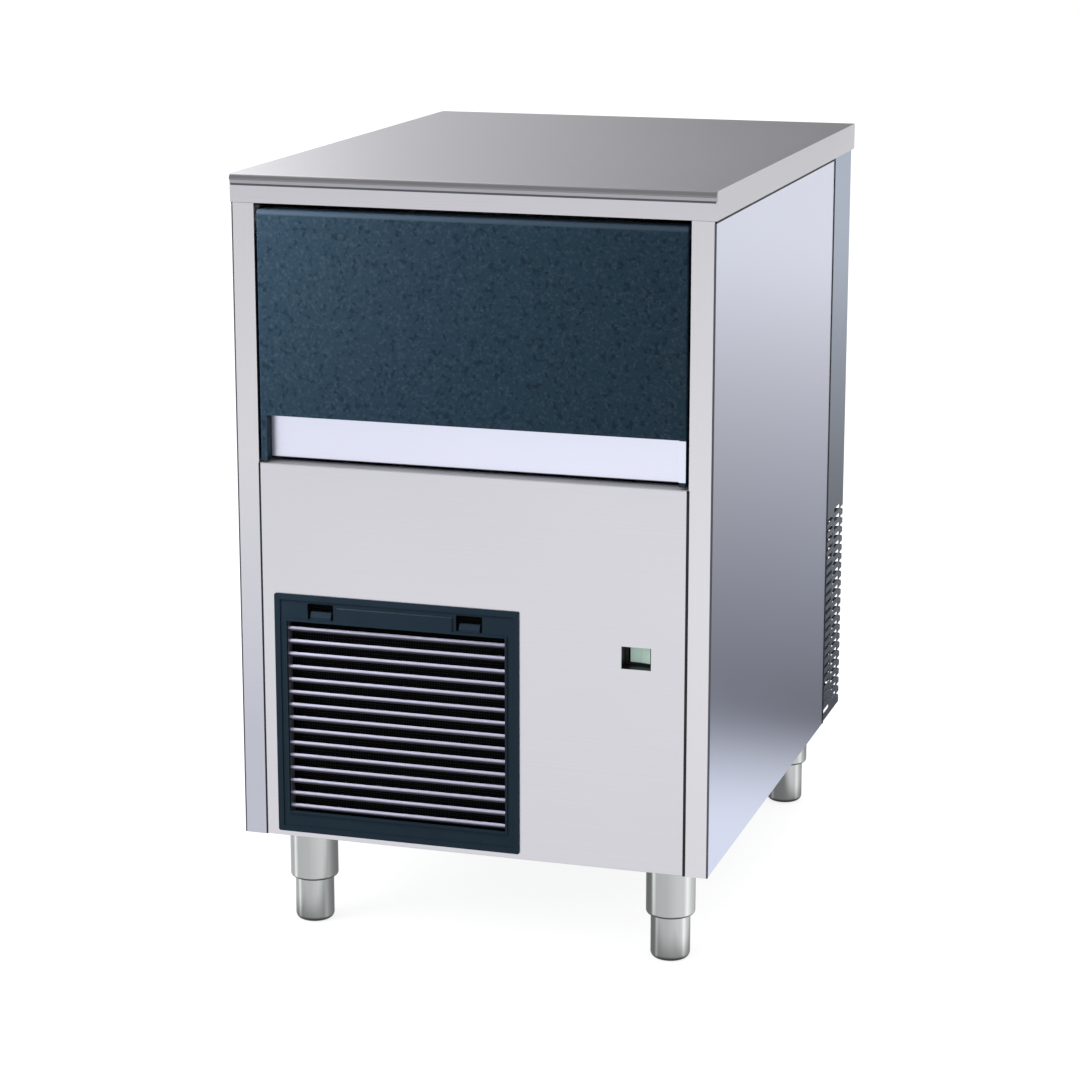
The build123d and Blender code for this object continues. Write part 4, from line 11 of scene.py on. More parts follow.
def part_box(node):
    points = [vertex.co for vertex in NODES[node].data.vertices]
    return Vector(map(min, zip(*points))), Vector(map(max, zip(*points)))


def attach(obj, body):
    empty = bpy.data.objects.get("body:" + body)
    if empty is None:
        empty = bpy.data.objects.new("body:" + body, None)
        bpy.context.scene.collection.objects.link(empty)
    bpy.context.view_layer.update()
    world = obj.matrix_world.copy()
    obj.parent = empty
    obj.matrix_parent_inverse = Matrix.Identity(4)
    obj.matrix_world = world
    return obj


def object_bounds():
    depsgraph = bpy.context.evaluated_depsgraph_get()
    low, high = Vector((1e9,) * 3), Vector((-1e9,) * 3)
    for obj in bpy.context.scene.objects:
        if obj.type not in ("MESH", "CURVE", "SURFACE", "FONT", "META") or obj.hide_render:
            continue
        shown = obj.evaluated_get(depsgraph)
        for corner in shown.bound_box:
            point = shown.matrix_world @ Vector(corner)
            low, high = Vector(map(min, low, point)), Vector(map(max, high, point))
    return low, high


bl_info = {
    "name": "Ice Machine Finish",
    "version": (1, 0, 0),
    "blender": (4, 5, 0),
    "location": "View3D > Sidebar > Ice Machine",
    "description": "Adds the finishes, small fittings and stage of a flake-ice machine",
    "category": "Object",
}

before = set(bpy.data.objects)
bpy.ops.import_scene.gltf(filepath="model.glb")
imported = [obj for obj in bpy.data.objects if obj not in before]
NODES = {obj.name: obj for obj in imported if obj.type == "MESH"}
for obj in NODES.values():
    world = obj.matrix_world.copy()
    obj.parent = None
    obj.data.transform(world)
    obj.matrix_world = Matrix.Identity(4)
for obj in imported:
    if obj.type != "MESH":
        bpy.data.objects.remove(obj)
CAD_LOW, CAD_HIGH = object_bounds()
MM = 0.001

# Door moulding, with a painted highlight along its top edge, and the end tab of its handle strip
DOOR_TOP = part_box("door_panel")[1][2]
DOOR_HIGHLIGHT_FROM = 5.5 * MM
DOOR_HIGHLIGHT_TO = 4.0 * MM
DOOR_HIGHLIGHT_COLOR = (0.035, 0.055, 0.080)
DOOR_FLECK_LIFT = 0.016
DOOR_FLECKS = (0.50, 0.72)
DOOR_FLECK_DEPTH = 0.3 * MM
DOOR_GRAIN_DEPTH = 0.4 * MM
DOOR_PIT_SHADE = 0.62
DOOR_PIT_SPAN = 1.7
DOOR_PITS = (0.30, 0.44)
TAB_PROUD = 0.9 * MM
TAB_LIFT = 2.8 * MM
TAB_MARGIN = 0.3 * MM

# Sheet steel; a foot is painted light low down, shade on the stile and rear sheet and a reflected tint on the
# side sheet: its colour and the heights between which it fades out
BRUSH_RUNS = 6.0
BRUSH_CLOUDS = 3.5
BRUSH_VARY = 0.02
BRUSH_CLOUD_VARY = 0.015
BRUSH_DEPTH = 0.01 * MM
STILE_PAINTED_SHADE = ((0.52, 0.53, 0.61), 0.22, 0.52)
SIDE_VARY = 0.15
SIDE_PAINTED_TINT = ((0.61, 0.66, 0.86), 0.30, 0.58)
CASE_VARY = 0.3
# Rear sheet: painted shade low down on its right wrap, and a painted reflection colour and metal on its faces
# that do not point right
CASE_PAINTED_SHADE = ((0.095, 0.138, 0.210), 0.34, 0.74)
CASE_PAINTED_BACK_COLOR = (0.37, 0.42, 0.49)
CASE_PAINTED_BACK_METAL = 0.35
CASE_TURN = (0.4, 0.8)
# The top's nose gets painted shade: its reach back, its band of heights, the fade along it and its shade
NOSE_DEPTH = (3.0 * MM, 5.0 * MM)
NOSE_EDGE = (1.2 * MM, 0.2 * MM)
NOSE_FADE = 0.70
NOSE_SHADE = 0.55
# The front panel's narrow top fold is set non-metallic, a painted highlight
PANEL_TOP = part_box("lower_front_panel")[1][2]
FOLD_EDGE = 1.2 * MM
FOLD_FADE = 0.4 * MM

# Polished feet; a painted reflection streak is its angle in degrees and its tone, and the edge shade is
# painted shade on faces that look down
TUBE_COLOR = (0.50, 0.515, 0.515)
TUBE_ROUGHNESS = 0.16
TUBE_WEAR = (900, 900, 6)
TUBE_EDGE_SHADE = 0.22
TUBE_HANGING = (-0.45, -0.10)
TUBE_STREAK_START = math.radians(-163)
TUBE_PAINTED_STREAKS = ((0, 0.45), (24, 0.62), (36, 0.75), (43, 1.55), (52, 0.80), (80, 0.85), (104, 1.05),
              (120, 1.10), (130, 1.75), (142, 1.15), (160, 0.75), (180, 0.45))

# Rocker lens, grille blades and zinc-coated sheet
LENS_GLOW_COLOR = (0.60, 0.90, 0.76)
LENS_GLOW = 0.22
# The grille blades' faces that hang get painted shade
BLADE_TURN = (-0.15, 0.50)
BLADE_SHADE = 0.10
ZINC_FLAKES = 90

# Dark strips in the joints and under the top's nose, painted shade where the cabinet has only gaps and their
# shadow
STRIP_PROUD = 0.5 * MM
SMALL_GAP = 0.1 * MM
SEAM_WIDE = 4.6 * MM
SEAM_LAP = 1.5 * MM
SEAM_FILL = 3.0 * MM
JOINT_WIDTHS = {"left": 1.7 * MM, "right": 2.8 * MM}
CREASE_DROP = 9.5 * MM
CREASE_WIDE = 2.0 * MM
CREASE_SET = 0.4 * MM
CREASE_MARGIN = 1.0 * MM
UNDER_STRIP = 2.6 * MM
UNDER_STRIP_PROUD = 1.1 * MM
CORNER_STRIP = 1.2 * MM
BROKEN_EDGE = 0.2

# Rear screws; the last three are shares of a width or of the head's height
SCREW_R = 3.8 * MM
SCREW_HEIGHT = 1.8 * MM
SCREW_ARM = 0.45 * MM
SCREW_REACH = 1.9 * MM
SCREW_EDGE = 10 * MM
SCREW_DROP = 24 * MM
SCREW_ROWS = (0.400, 0.580)
PLATE_SCREW_LIFT = 9 * MM
PLATE_SCREW_EDGE = 12 * MM
SCREW_FLOOR = (0.6, 0.35)
SCREW_RECESS_FOOT = 0.45
SCREW_DOME = ((0.72, 0.96), (1.0, 0.55), (1.0, 0.0))

# Thread of the water inlet
INLET_THREAD_R = 13.2 * MM
INLET_THREAD_L = 20.0 * MM
THREAD_SIDES = 32
THREAD_PITCH = 1.81 * MM
THREAD_RIDGE = 0.55 * MM
THREAD_SINK = 0.1 * MM
THREAD_FOOT = 0.42

# Woven wires of the air filter
WIRE = 0.4 * MM
WIRE_PITCH = 2.8 * MM
WIRE_SEAT = 0.05 * MM
WIRE_EDGE = 3 * MM
WIRE_END = 2 * MM

# Floor and its dim band
WHITE = (1, 1, 1, 1)
FLOOR_REACH = 14.0
FLOOR_PALE = 0.55
FLOOR_DIM = 0.20
DIM_GLOW = 0.08
DIM_RISE = 3.9
DIM_FADE = 0.55

# Bands of what the sheet mirrors: where one starts and ends, and its value at each
GLOW_BACK = (-2.0, -0.6, 1.18, 1.0)
GLOW_ACROSS = (-1.3, -0.2, 0.94, 1.06)
GLOW_OUTSIDE = (0.85, 1.15, 0.35, 1.0)
SKY_ACROSS = (-0.42, -0.16, 0.74, 0.22)
SKY_LEFT = (-0.50, -0.33, 2.5, 0.0)
SKY_BEHIND = (-0.2, 0.5, 0.0, 1.0)
SKY_BEFORE = (-0.2, 0.5, 0.45, 0.0)


class SheetFinish(bpy.types.PropertyGroup):
    """Sizes and colours of the sheet steel."""

    front_color: FloatVectorProperty(
        name="Front colour", description="Satin stainless of the front and top", subtype="COLOR",
        size=3, min=0, max=1, default=(0.66, 0.655, 0.70))
    side_color: FloatVectorProperty(
        name="Side colour", description="Satin stainless of the side panels", subtype="COLOR",
        size=3, min=0, max=1, default=(0.62, 0.65, 0.78))
    rear_color: FloatVectorProperty(
        name="Rear colour", description="Sheet of the rear casing", subtype="COLOR",
        size=3, min=0, max=1, default=(0.225, 0.285, 0.41))
    inner_color: FloatVectorProperty(
        name="Inner sheet colour", description="Galvanised sheet inside the cabinet", subtype="COLOR",
        size=3, min=0, max=1, default=(0.52, 0.54, 0.55))
    stile_color: FloatVectorProperty(
        name="Stile colour", description="Satin stainless of the front stiles", subtype="COLOR",
        size=3, min=0, max=1, default=(0.70, 0.69, 0.73))
    strip_color: FloatVectorProperty(
        name="Strip colour", description="Bright stainless of the door's handle strip", subtype="COLOR",
        size=3, min=0, max=1, default=(0.79, 0.81, 0.95))
    roughness: FloatProperty(
        name="Roughness", description="Satin of the brushed sheet", min=0.05, max=1, default=0.34)
    side_roughness: FloatProperty(
        name="Side roughness", description="Satin of the side panels", min=0.05, max=1, default=0.25)
    grain: FloatProperty(
        name="Grain width", description="Width of one brush line", subtype="DISTANCE", unit="LENGTH",
        min=0.0001, default=0.0006)


class PlasticFinish(bpy.types.PropertyGroup):
    """Sizes and colours of the mouldings."""

    door_color: FloatVectorProperty(
        name="Door colour", description="Leather-grained door moulding", subtype="COLOR",
        size=3, min=0, max=1, default=(0.0125, 0.0285, 0.0455))
    grain: FloatProperty(
        name="Door grain", description="Size of one pebble of the door's grain", subtype="DISTANCE",
        unit="LENGTH", min=0.0005, default=0.0032)
    grille_color: FloatVectorProperty(
        name="Grille colour", description="Frame of the air grille", subtype="COLOR",
        size=3, min=0, max=1, default=(0.011, 0.023, 0.036))
    blade_color: FloatVectorProperty(
        name="Blade colour", description="Blades of the air grille", subtype="COLOR",
        size=3, min=0, max=1, default=(0.38, 0.38, 0.50))
    liner_color: FloatVectorProperty(
        name="Liner colour", description="Food-grade mouldings of the bin", subtype="COLOR",
        size=3, min=0, max=1, default=(0.80, 0.83, 0.85))
    rocker_color: FloatVectorProperty(
        name="Rocker colour", description="Lens of the power rocker", subtype="COLOR",
        size=3, min=0, max=1, default=(0.68, 0.88, 0.80))


class StageSettings(bpy.types.PropertyGroup):
    """Camera, floor and light."""

    camera_place: FloatVectorProperty(
        name="Camera place", description="Where the camera stands", subtype="XYZ", unit="LENGTH",
        size=3, default=(0.9409, -3.1468, 1.1607))
    camera_turn: FloatProperty(
        name="Camera turn", description="Turn of the camera to the left of straight ahead",
        subtype="ANGLE", unit="ROTATION", default=math.radians(17.1))
    camera_dip: FloatProperty(
        name="Camera dip", description="Tilt of the camera below the horizon", subtype="ANGLE",
        unit="ROTATION", default=math.radians(13.6))
    lens: FloatProperty(
        name="Lens", description="Focal length in millimetres on a 36 mm frame", min=10, default=101.88)
    sky_strength: FloatProperty(
        name="Sky strength", description="Light of the sky on matt surfaces", min=0, default=0.60)
    floor_lift: FloatProperty(
        name="Floor lift", description="Glow that turns the lit floor white in the picture",
        min=0, default=0.80)
    front_glow: FloatProperty(
        name="Front glow", description="Brightness of the floor before the machine in its sheet", min=0,
        default=0.84)
    far_glow: FloatProperty(
        name="Far glow", description="Brightness of the far floor behind the machine in its sheet", min=0,
        default=0.90)
    dim_near: FloatProperty(
        name="Dim band, near edge", description="Where the dim band behind the machine begins",
        subtype="DISTANCE", unit="LENGTH", default=0.70)
    dim_far: FloatProperty(
        name="Dim band, far edge", description="Where the dim band behind the machine ends",
        subtype="DISTANCE", unit="LENGTH", default=0.70)


def settings():
    """The scene's property groups by name."""
    scene = bpy.context.scene
    return scene.ice_sheet, scene.ice_plastic, scene.ice_stage


class Nodes:
    """Short way to build one procedural material around its main shader."""

    def __init__(self, name):
        self.material = bpy.data.materials.new(name)
        self.material.use_nodes = True
        self.tree = self.material.node_tree
        self.shader = self.tree.nodes["Principled BSDF"]
        self.place = self.add("ShaderNodeTexCoord").outputs["Object"]
        self.tone = None

    def add(self, kind, **values):
        node = self.tree.nodes.new(kind)
        for key, value in values.items():
            setattr(node, key, value)
        return node

    def link(self, source, target):
        self.tree.links.new(source, target)

    def set(self, **values):
        """Constants on the shader's own sockets, whose names are written in lower case."""
        for key, value in values.items():
            socket = self.shader.inputs[key.replace("_", " ").title().replace("Ior", "IOR")]
            if socket.type == "RGBA" and len(value) == 3:
                value = (*value, 1)
            socket.default_value = value

    def scaled(self, scale):
        mapping = self.add("ShaderNodeMapping")
        mapping.inputs["Scale"].default_value = scale
        self.link(self.place, mapping.inputs["Vector"])
        return mapping.outputs["Vector"]

    def noise(self, scale, detail=3.0, rough=0.5):
        """Noise whose scale is cells per metre, the same along each axis or one value for each."""
        node = self.add("ShaderNodeTexNoise")
        node.inputs["Detail"].default_value = detail
        node.inputs["Roughness"].default_value = rough
        if isinstance(scale, tuple):
            node.inputs["Scale"].default_value = 1.0
            self.link(self.scaled(scale), node.inputs["Vector"])
        else:
            node.inputs["Scale"].default_value = scale
            self.link(self.place, node.inputs["Vector"])
        return node.outputs["Fac"]

    def cells(self, scale, feature="F1"):
        """Distance to the middle of the nearest cell; the scale is cells per metre."""
        node = self.add("ShaderNodeTexVoronoi", feature=feature)
        node.inputs["Scale"].default_value = scale
        self.link(self.place, node.inputs["Vector"])
        return node.outputs["Distance"]

    def spread(self, source, low, high, source_low=0.3, source_high=0.7):
        """A value brought from the source's range to another."""
        node = self.add("ShaderNodeMapRange")
        ends = (("From Min", source_low), ("From Max", source_high), ("To Min", low), ("To Max", high))
        for key, value in ends:
            node.inputs[key].default_value = value
        self.link(source, node.inputs["Value"])
        return node.outputs["Result"]

    def blend(self, factor, first, second):
        """A mix of two plain colours."""
        node = self.add("ShaderNodeMix", data_type="RGBA")
        node.inputs["A"].default_value = (*first, 1)
        node.inputs["B"].default_value = (*second, 1)
        self.link(factor, node.inputs["Factor"])
        return node.outputs["Result"]

    def cover(self, factor, below, color):
        """A colour socket covered by a plain colour where the factor is 1."""
        node = self.add("ShaderNodeMix", data_type="RGBA")
        self.link(below, node.inputs["A"])
        node.inputs["B"].default_value = (*color, 1)
        self.link(factor, node.inputs["Factor"])
        return node.outputs["Result"]

    def axes(self, kind="Object"):
        """The three parts of the Object place, or of the Normal."""
        parts = self.add("ShaderNodeSeparateXYZ")
        self.link(self.add("ShaderNodeTexCoord").outputs[kind], parts.inputs[0])
        return parts.outputs

    def paint(self, tone):
        """Gives the shader its colour and keeps the socket, so that a cover can go over it."""
        self.tone = tone
        self.link(tone, self.shader.inputs["Base Color"])

    def polish(self, source):
        """Gives the shader its roughness."""
        self.link(source, self.shader.inputs["Roughness"])

    def bump(self, height, distance, strength=1.0, under=None):
        """Presses a height into the shader's normal; the distance is its depth in metres."""
        node = self.add("ShaderNodeBump")
        node.inputs["Distance"].default_value = distance
        node.inputs["Strength"].default_value = strength
        self.link(height, node.inputs["Height"])
        if under is not None:
            self.link(under, node.inputs["Normal"])
        self.link(node.outputs["Normal"], self.shader.inputs["Normal"])
        return node.outputs["Normal"]


def shade(color, factor):
    """A colour made lighter or darker."""
    return tuple(min(1.0, c * factor) for c in color)


def brushed(name, color, roughness, along, grain, vary=1.0, foot=None):
    """Satin sheet whose brush lines run along one axis; foot, where given, is painted light low down: its
    colour and two heights.
    """
    nodes = Nodes(name)
    scale = tuple(BRUSH_RUNS if axis == along else 1 / grain for axis in range(3))
    lines = nodes.noise(scale, detail=2.0)
    cloud = nodes.noise(BRUSH_CLOUDS, detail=2.0)
    nodes.set(metallic=1.0)
    step = BRUSH_VARY * vary
    tone = nodes.blend(nodes.spread(lines, 0, 1), shade(color, 1 - step), shade(color, 1 + step))
    if foot:
        # painted light: below the two heights the colour low down covers the sheet's own tone
        painted_low_color, low, high = foot
        tone = nodes.cover(nodes.spread(nodes.axes()[2], 1, 0, low, high), tone, painted_low_color)
    nodes.paint(tone)
    satin = nodes.spread(lines, roughness - step, roughness + step)
    cloud_step = BRUSH_CLOUD_VARY * vary
    nodes.polish(join(nodes.tree, "ADD", satin, nodes.spread(cloud, -cloud_step, cloud_step)))
    nodes.bump(lines, BRUSH_DEPTH * vary)
    return nodes


def nosed_top(color, roughness, grain):
    """Brushed top sheet with painted shade on its nose, the band turned down at the front."""
    nodes = brushed("Top Sheet", color, roughness, 0, grain)
    tree, top, (_, back, height) = nodes.tree, CAD_HIGH[2], nodes.axes()
    below = ease(tree, height, top - NOSE_EDGE[0], top - NOSE_EDGE[1], 1.0, 0.0)
    above = ease(tree, height, top - CREASE_DROP - 1.0 * MM, top - CREASE_DROP, 0.0, 1.0)
    fade = ease(tree, height, top - CREASE_DROP, top, NOSE_FADE, 1.0)
    front = ease(tree, back, CAD_LOW[1] + NOSE_DEPTH[0], CAD_LOW[1] + NOSE_DEPTH[1], 1.0, 0.0)
    painted_nose_shade = below
    for share in (above, fade, front):
        painted_nose_shade = join(tree, "MULTIPLY", painted_nose_shade, share)
    # painted shade: the band of the turned-down nose is darkened
    nodes.paint(nodes.cover(painted_nose_shade, nodes.tone, shade(color, NOSE_SHADE)))
    return nodes.material


def painted_rear_sheet(color, roughness, grain):
    """Rear sheet: brushed where it wraps round the right side and darker low down there, a painted shade; its
    other faces get a paler, less metallic colour by the way they face, a painted reflection.
    """
    nodes = brushed("Rear Sheet", color, roughness, 2, grain, CASE_VARY, CASE_PAINTED_SHADE)
    # painted reflection: faces that do not point right get a paler, less metallic colour by the way they face
    coated = ease(nodes.tree, nodes.axes("Normal")[0], *CASE_TURN, 1.0, 0.0)
    nodes.paint(nodes.cover(coated, nodes.tone, CASE_PAINTED_BACK_COLOR))
    metal = ease(nodes.tree, coated, 0.0, 1.0, 1.0, CASE_PAINTED_BACK_METAL, "LINEAR")
    nodes.link(metal, nodes.shader.inputs["Metallic"])
    return nodes.material


def folded_front(color, roughness, grain):
    """Brushed front sheet whose narrow top fold is set non-metallic so that it shows pale under the lamps, a
    painted highlight.
    """
    nodes = brushed("Front Sheet", color, roughness, 0, grain)
    edge = PANEL_TOP - FOLD_EDGE
    # painted highlight: the fold loses its metal so that it is lit pale
    metal = ease(nodes.tree, nodes.axes()[2], edge, edge + FOLD_FADE, 1.0, 0.0)
    nodes.link(metal, nodes.shader.inputs["Metallic"])
    return nodes.material


def polished_tube(color, roughness):
    """Drawn and polished tube: bright and dark streaks run down it by the way it faces, a painted reflection,
    and its faces that look down get painted shade.
    """
    nodes = Nodes("Polished Tube")
    across, back, up = nodes.axes("Normal")
    turn = join(nodes.tree, "ARCTAN2", back, across)
    half_turn = nodes.add("ShaderNodeMath", operation="WRAP")
    nodes.link(turn, half_turn.inputs[0])
    half_turn.inputs[1].default_value = TUBE_STREAK_START + math.pi
    half_turn.inputs[2].default_value = TUBE_STREAK_START
    # painted reflection: bright and dark streaks set by the angle round the tube
    painted_streaks = nodes.add("ShaderNodeValToRGB")
    stops = painted_streaks.color_ramp.elements
    while len(stops) < len(TUBE_PAINTED_STREAKS):
        stops.new(1.0)
    for stop, (degrees, tone) in zip(stops, TUBE_PAINTED_STREAKS):
        stop.position = degrees / 180
        stop.color = (*shade(color, tone), 1)
    share = nodes.spread(half_turn.outputs[0], 0, 1, TUBE_STREAK_START, TUBE_STREAK_START + math.pi)
    nodes.link(share, painted_streaks.inputs["Fac"])
    # painted shade on the faces that look down
    hanging = nodes.spread(up, 1, 0, *TUBE_HANGING)
    nodes.paint(nodes.cover(hanging, painted_streaks.outputs["Color"], shade(color, TUBE_EDGE_SHADE)))
    wear = nodes.noise(TUBE_WEAR, detail=2.0)
    nodes.polish(nodes.spread(wear, roughness - 0.03, roughness + 0.05))
    nodes.set(metallic=1.0)
    nodes.bump(wear, BRUSH_DEPTH)
    return nodes.material


def galvanised(color):
    """Zinc-coated sheet with its flakes of different grey."""
    nodes = Nodes("Galvanised Sheet")
    flakes = nodes.add("ShaderNodeTexVoronoi", feature="F1")
    flakes.inputs["Scale"].default_value = ZINC_FLAKES
    nodes.link(nodes.place, flakes.inputs["Vector"])
    grey = nodes.add("ShaderNodeSeparateColor")
    nodes.link(flakes.outputs["Color"], grey.inputs[0])
    nodes.set(metallic=0.9)
    share = nodes.spread(grey.outputs[0], 0, 1, 0, 1)
    nodes.paint(nodes.blend(share, shade(color, 0.88), shade(color, 1.12)))
    nodes.polish(nodes.spread(grey.outputs[0], 0.38, 0.55, 0, 1))
    return nodes.material


def turned(name, color, roughness):
    """Machined metal with fine rings and a little wear."""
    nodes = Nodes(name)
    wear = nodes.noise(60, detail=4.0)
    nodes.set(metallic=1.0)
    nodes.paint(nodes.blend(nodes.spread(wear, 0, 1), shade(color, 0.9), color))
    nodes.polish(nodes.spread(wear, roughness - 0.05, roughness + 0.07))
    nodes.bump(nodes.noise((40, 40, 2500), detail=1.0), 0.02 * MM)
    return nodes.material


def leather_grain(color, grain):
    """Moulded sheet with a soft pebbled grain, dark pits and paler flecks; a paler band along its top edge is
    a painted highlight.
    """
    nodes = Nodes("Grained Door Moulding")
    pebbles = nodes.cells(1 / grain, feature="SMOOTH_F1")
    flecks = nodes.noise(1 / grain, detail=3.0, rough=0.6)
    pits = nodes.noise(1 / (grain * DOOR_PIT_SPAN), detail=1.0)
    fleck = tuple(c + DOOR_FLECK_LIFT for c in color)
    tone = nodes.blend(nodes.spread(flecks, 0, 1, *DOOR_FLECKS), color, fleck)
    tone = nodes.cover(nodes.spread(pits, 1, 0, *DOOR_PITS), tone, shade(color, DOOR_PIT_SHADE))
    # painted highlight: the top band of the moulding is made paler, for light caught by its rounded edge
    edge = nodes.spread(nodes.axes()[2], 0, 1, DOOR_TOP - DOOR_HIGHLIGHT_FROM, DOOR_TOP - DOOR_HIGHLIGHT_TO)
    nodes.paint(nodes.cover(edge, tone, DOOR_HIGHLIGHT_COLOR))
    nodes.set(specular_ior_level=0.05)
    nodes.polish(nodes.spread(flecks, 0.58, 0.42))
    first = nodes.bump(pebbles, DOOR_GRAIN_DEPTH, 0.5)
    nodes.bump(flecks, DOOR_FLECK_DEPTH, 0.5, under=first)
    return nodes.material


def louvre_plastic(color):
    """Moulded blades: pale on the faces that lie up and dark on those that hang, which is painted shade; a
    fine noise varies their roughness and bump.
    """
    nodes = Nodes("Pale Grille Blades")
    # painted shade: the faces that hang are darkened by the way they face
    up = nodes.spread(nodes.axes("Normal")[2], 0, 1, *BLADE_TURN)
    nodes.paint(nodes.blend(up, shade(color, BLADE_SHADE), color))
    dust = nodes.noise(160, detail=3.0)
    nodes.polish(nodes.spread(dust, 0.30, 0.42))
    nodes.set(specular_ior_level=0.2)
    nodes.bump(dust, 0.04 * MM)
    return nodes.material


def moulded(name, color, roughness=0.45, speck=900.0, depth=0.06 * MM, **shader):
    """Moulded plastic with a fine spark-eroded texture and slightly uneven tone."""
    nodes = Nodes(name)
    tone = nodes.noise(40, detail=3.0)
    nodes.paint(nodes.blend(nodes.spread(tone, 0, 1), shade(color, 0.92), shade(color, 1.06)))
    nodes.polish(nodes.spread(tone, roughness - 0.04, roughness + 0.05))
    nodes.bump(nodes.noise(speck, detail=2.0), depth)
    nodes.set(**shader)
    return nodes.material


def foam(color):
    """Rigid foam with small closed cells."""
    nodes = Nodes("Cream Foam")
    bubbles = nodes.cells(420)
    nodes.paint(nodes.blend(nodes.spread(bubbles, 0, 1, 0.1, 0.7), shade(color, 1.05), shade(color, 0.8)))
    nodes.set(roughness=0.85)
    nodes.bump(bubbles, 0.6 * MM, 0.6)
    return nodes.material


def painted(name, color, roughness=0.35):
    """Painted steel with a slight orange peel."""
    nodes = Nodes(name)
    peel = nodes.noise(350, detail=2.0)
    nodes.paint(nodes.blend(nodes.spread(nodes.noise(25), 0, 1), shade(color, 0.85), shade(color, 1.15)))
    nodes.polish(nodes.spread(peel, roughness - 0.05, roughness + 0.08))
    nodes.bump(peel, 0.1 * MM, 0.5)
    return nodes.material


def copper(color):
    """Drawn copper, dulled in patches."""
    nodes = Nodes("Drawn Copper")
    dull = nodes.noise(70, detail=4.0)
    nodes.set(metallic=1.0)
    nodes.paint(nodes.blend(nodes.spread(dull, 0, 1), color, shade(color, 0.55)))
    nodes.polish(nodes.spread(dull, 0.22, 0.5))
    return nodes.material


def add_piece(name, mesh, body, material):
    """One small fitting, from its mesh, riding on a body."""
    bmesh.ops.recalc_face_normals(mesh, faces=mesh.faces)
    data = bpy.data.meshes.new(name)
    mesh.to_mesh(data)
    mesh.free()
    piece = bpy.data.objects.new(name, data)
    bpy.context.scene.collection.objects.link(piece)
    data.materials.append(material)
    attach(piece, body)


def add_bar(mesh, low, high):
    """A straight bar between two corners."""
    bar = bmesh.ops.create_cube(mesh, size=1.0)["verts"]
    for vert in bar:
        vert.co = Vector(low[i] + (high[i] - low[i]) * (vert.co[i] + 0.5) for i in range(3))
    return bar


def add_strip(mesh, low, high):
    """A straight bar with its edges broken, between two corners."""
    bar = add_bar(mesh, low, high)
    edges = list(dict.fromkeys(edge for vert in bar for edge in vert.link_edges))
    thin = min(high[i] - low[i] for i in range(3))
    bmesh.ops.bevel(mesh, geom=edges, offset=thin * BROKEN_EDGE, segments=2, affect="EDGES")


def add_screw(mesh, place, axis):
    """A pan head with a cross recess, its seat at the place; the rings run from the recess outwards."""
    stance = Vector(axis).to_track_quat("Z", "Y").to_matrix()
    arm, reach, crown = SCREW_ARM, SCREW_REACH, SCREW_HEIGHT
    outline = []
    for quarter in range(4):
        for x, y in ((reach, -arm), (reach, arm), (arm, arm)):
            turn = Matrix.Rotation(quarter * math.pi / 2, 2)
            outline.append(turn @ Vector((x, y)))
    count = len(outline)

    def ring(points, height):
        return [mesh.verts.new(Vector(place) + stance @ Vector((p.x, p.y, height))) for p in points]

    rim = [p.normalized() for p in outline]
    rings = [
        ring([p * arm * SCREW_FLOOR[0] for p in rim], crown * SCREW_FLOOR[1]),
        ring(outline, crown * SCREW_RECESS_FOOT),
        ring(outline, crown),
    ]
    for across, up in SCREW_DOME:
        rings.append(ring([p * SCREW_R * across for p in rim], crown * up))
    mesh.faces.new(rings[0])
    mesh.faces.new(list(reversed(rings[-1])))
    for first, second in zip(rings, rings[1:]):
        for i in range(count):
            mesh.faces.new((first[i], first[(i + 1) % count], second[(i + 1) % count], second[i]))


def clothe(material, *names):
    """Puts one material on CAD nodes."""
    for name in names:
        slots = NODES[name].data.materials
        slots.clear()
        slots.append(material)


class ICEMACHINE_OT_cabinet_sheet(bpy.types.Operator):
    """Finish the stainless sheet of the cabinet"""

    bl_idname = "icemachine.cabinet_sheet"
    bl_label = "Cabinet Sheet"

    def execute(self, context):
        sheet, _, _ = settings()
        satin, grain = sheet.roughness, sheet.grain
        clothe(nosed_top(sheet.front_color, satin, grain), "top_panel")
        clothe(folded_front(sheet.front_color, satin, grain), "lower_front_panel")
        stile = brushed("Stile Sheet", sheet.stile_color, satin, 2, grain)
        clothe(stile.material, "right_stile")
        # painted shade: the left stile is darker low down
        stile = brushed("Left Stile Sheet", sheet.stile_color, satin, 2, grain, foot=STILE_PAINTED_SHADE)
        clothe(stile.material, "left_stile")
        # painted reflection: the side sheet is tinted bluer low down
        side = brushed("Side Sheet", sheet.side_color, sheet.side_roughness, 1, grain, SIDE_VARY, SIDE_PAINTED_TINT)
        clothe(side.material, "left_side_panel", "right_side_panel")
        strip = brushed("Bright Strip", sheet.strip_color, satin, 0, grain)
        clothe(strip.material, "door_handle_strip")
        rear = painted_rear_sheet(sheet.rear_color, sheet.side_roughness, grain)
        clothe(rear, "rear_casing", "connection_plate")
        inner = galvanised(sheet.inner_color)
        clothe(inner, "upper_crossmember", "base_pan", "bin_shelf", "left_door_rail", "right_door_rail",
               "control_box", "control_box_cover", "fan_shroud", "gearmotor_bracket")
        return {"FINISHED"}


class ICEMACHINE_OT_feet(bpy.types.Operator):
    """Finish the polished feet"""

    bl_idname = "icemachine.feet"
    bl_label = "Feet"

    def execute(self, context):
        polished = polished_tube(TUBE_COLOR, TUBE_ROUGHNESS)
        clothe(polished, "foot_sleeves", "front_left_foot", "front_right_foot", "rear_left_foot",
               "rear_right_foot")
        return {"FINISHED"}


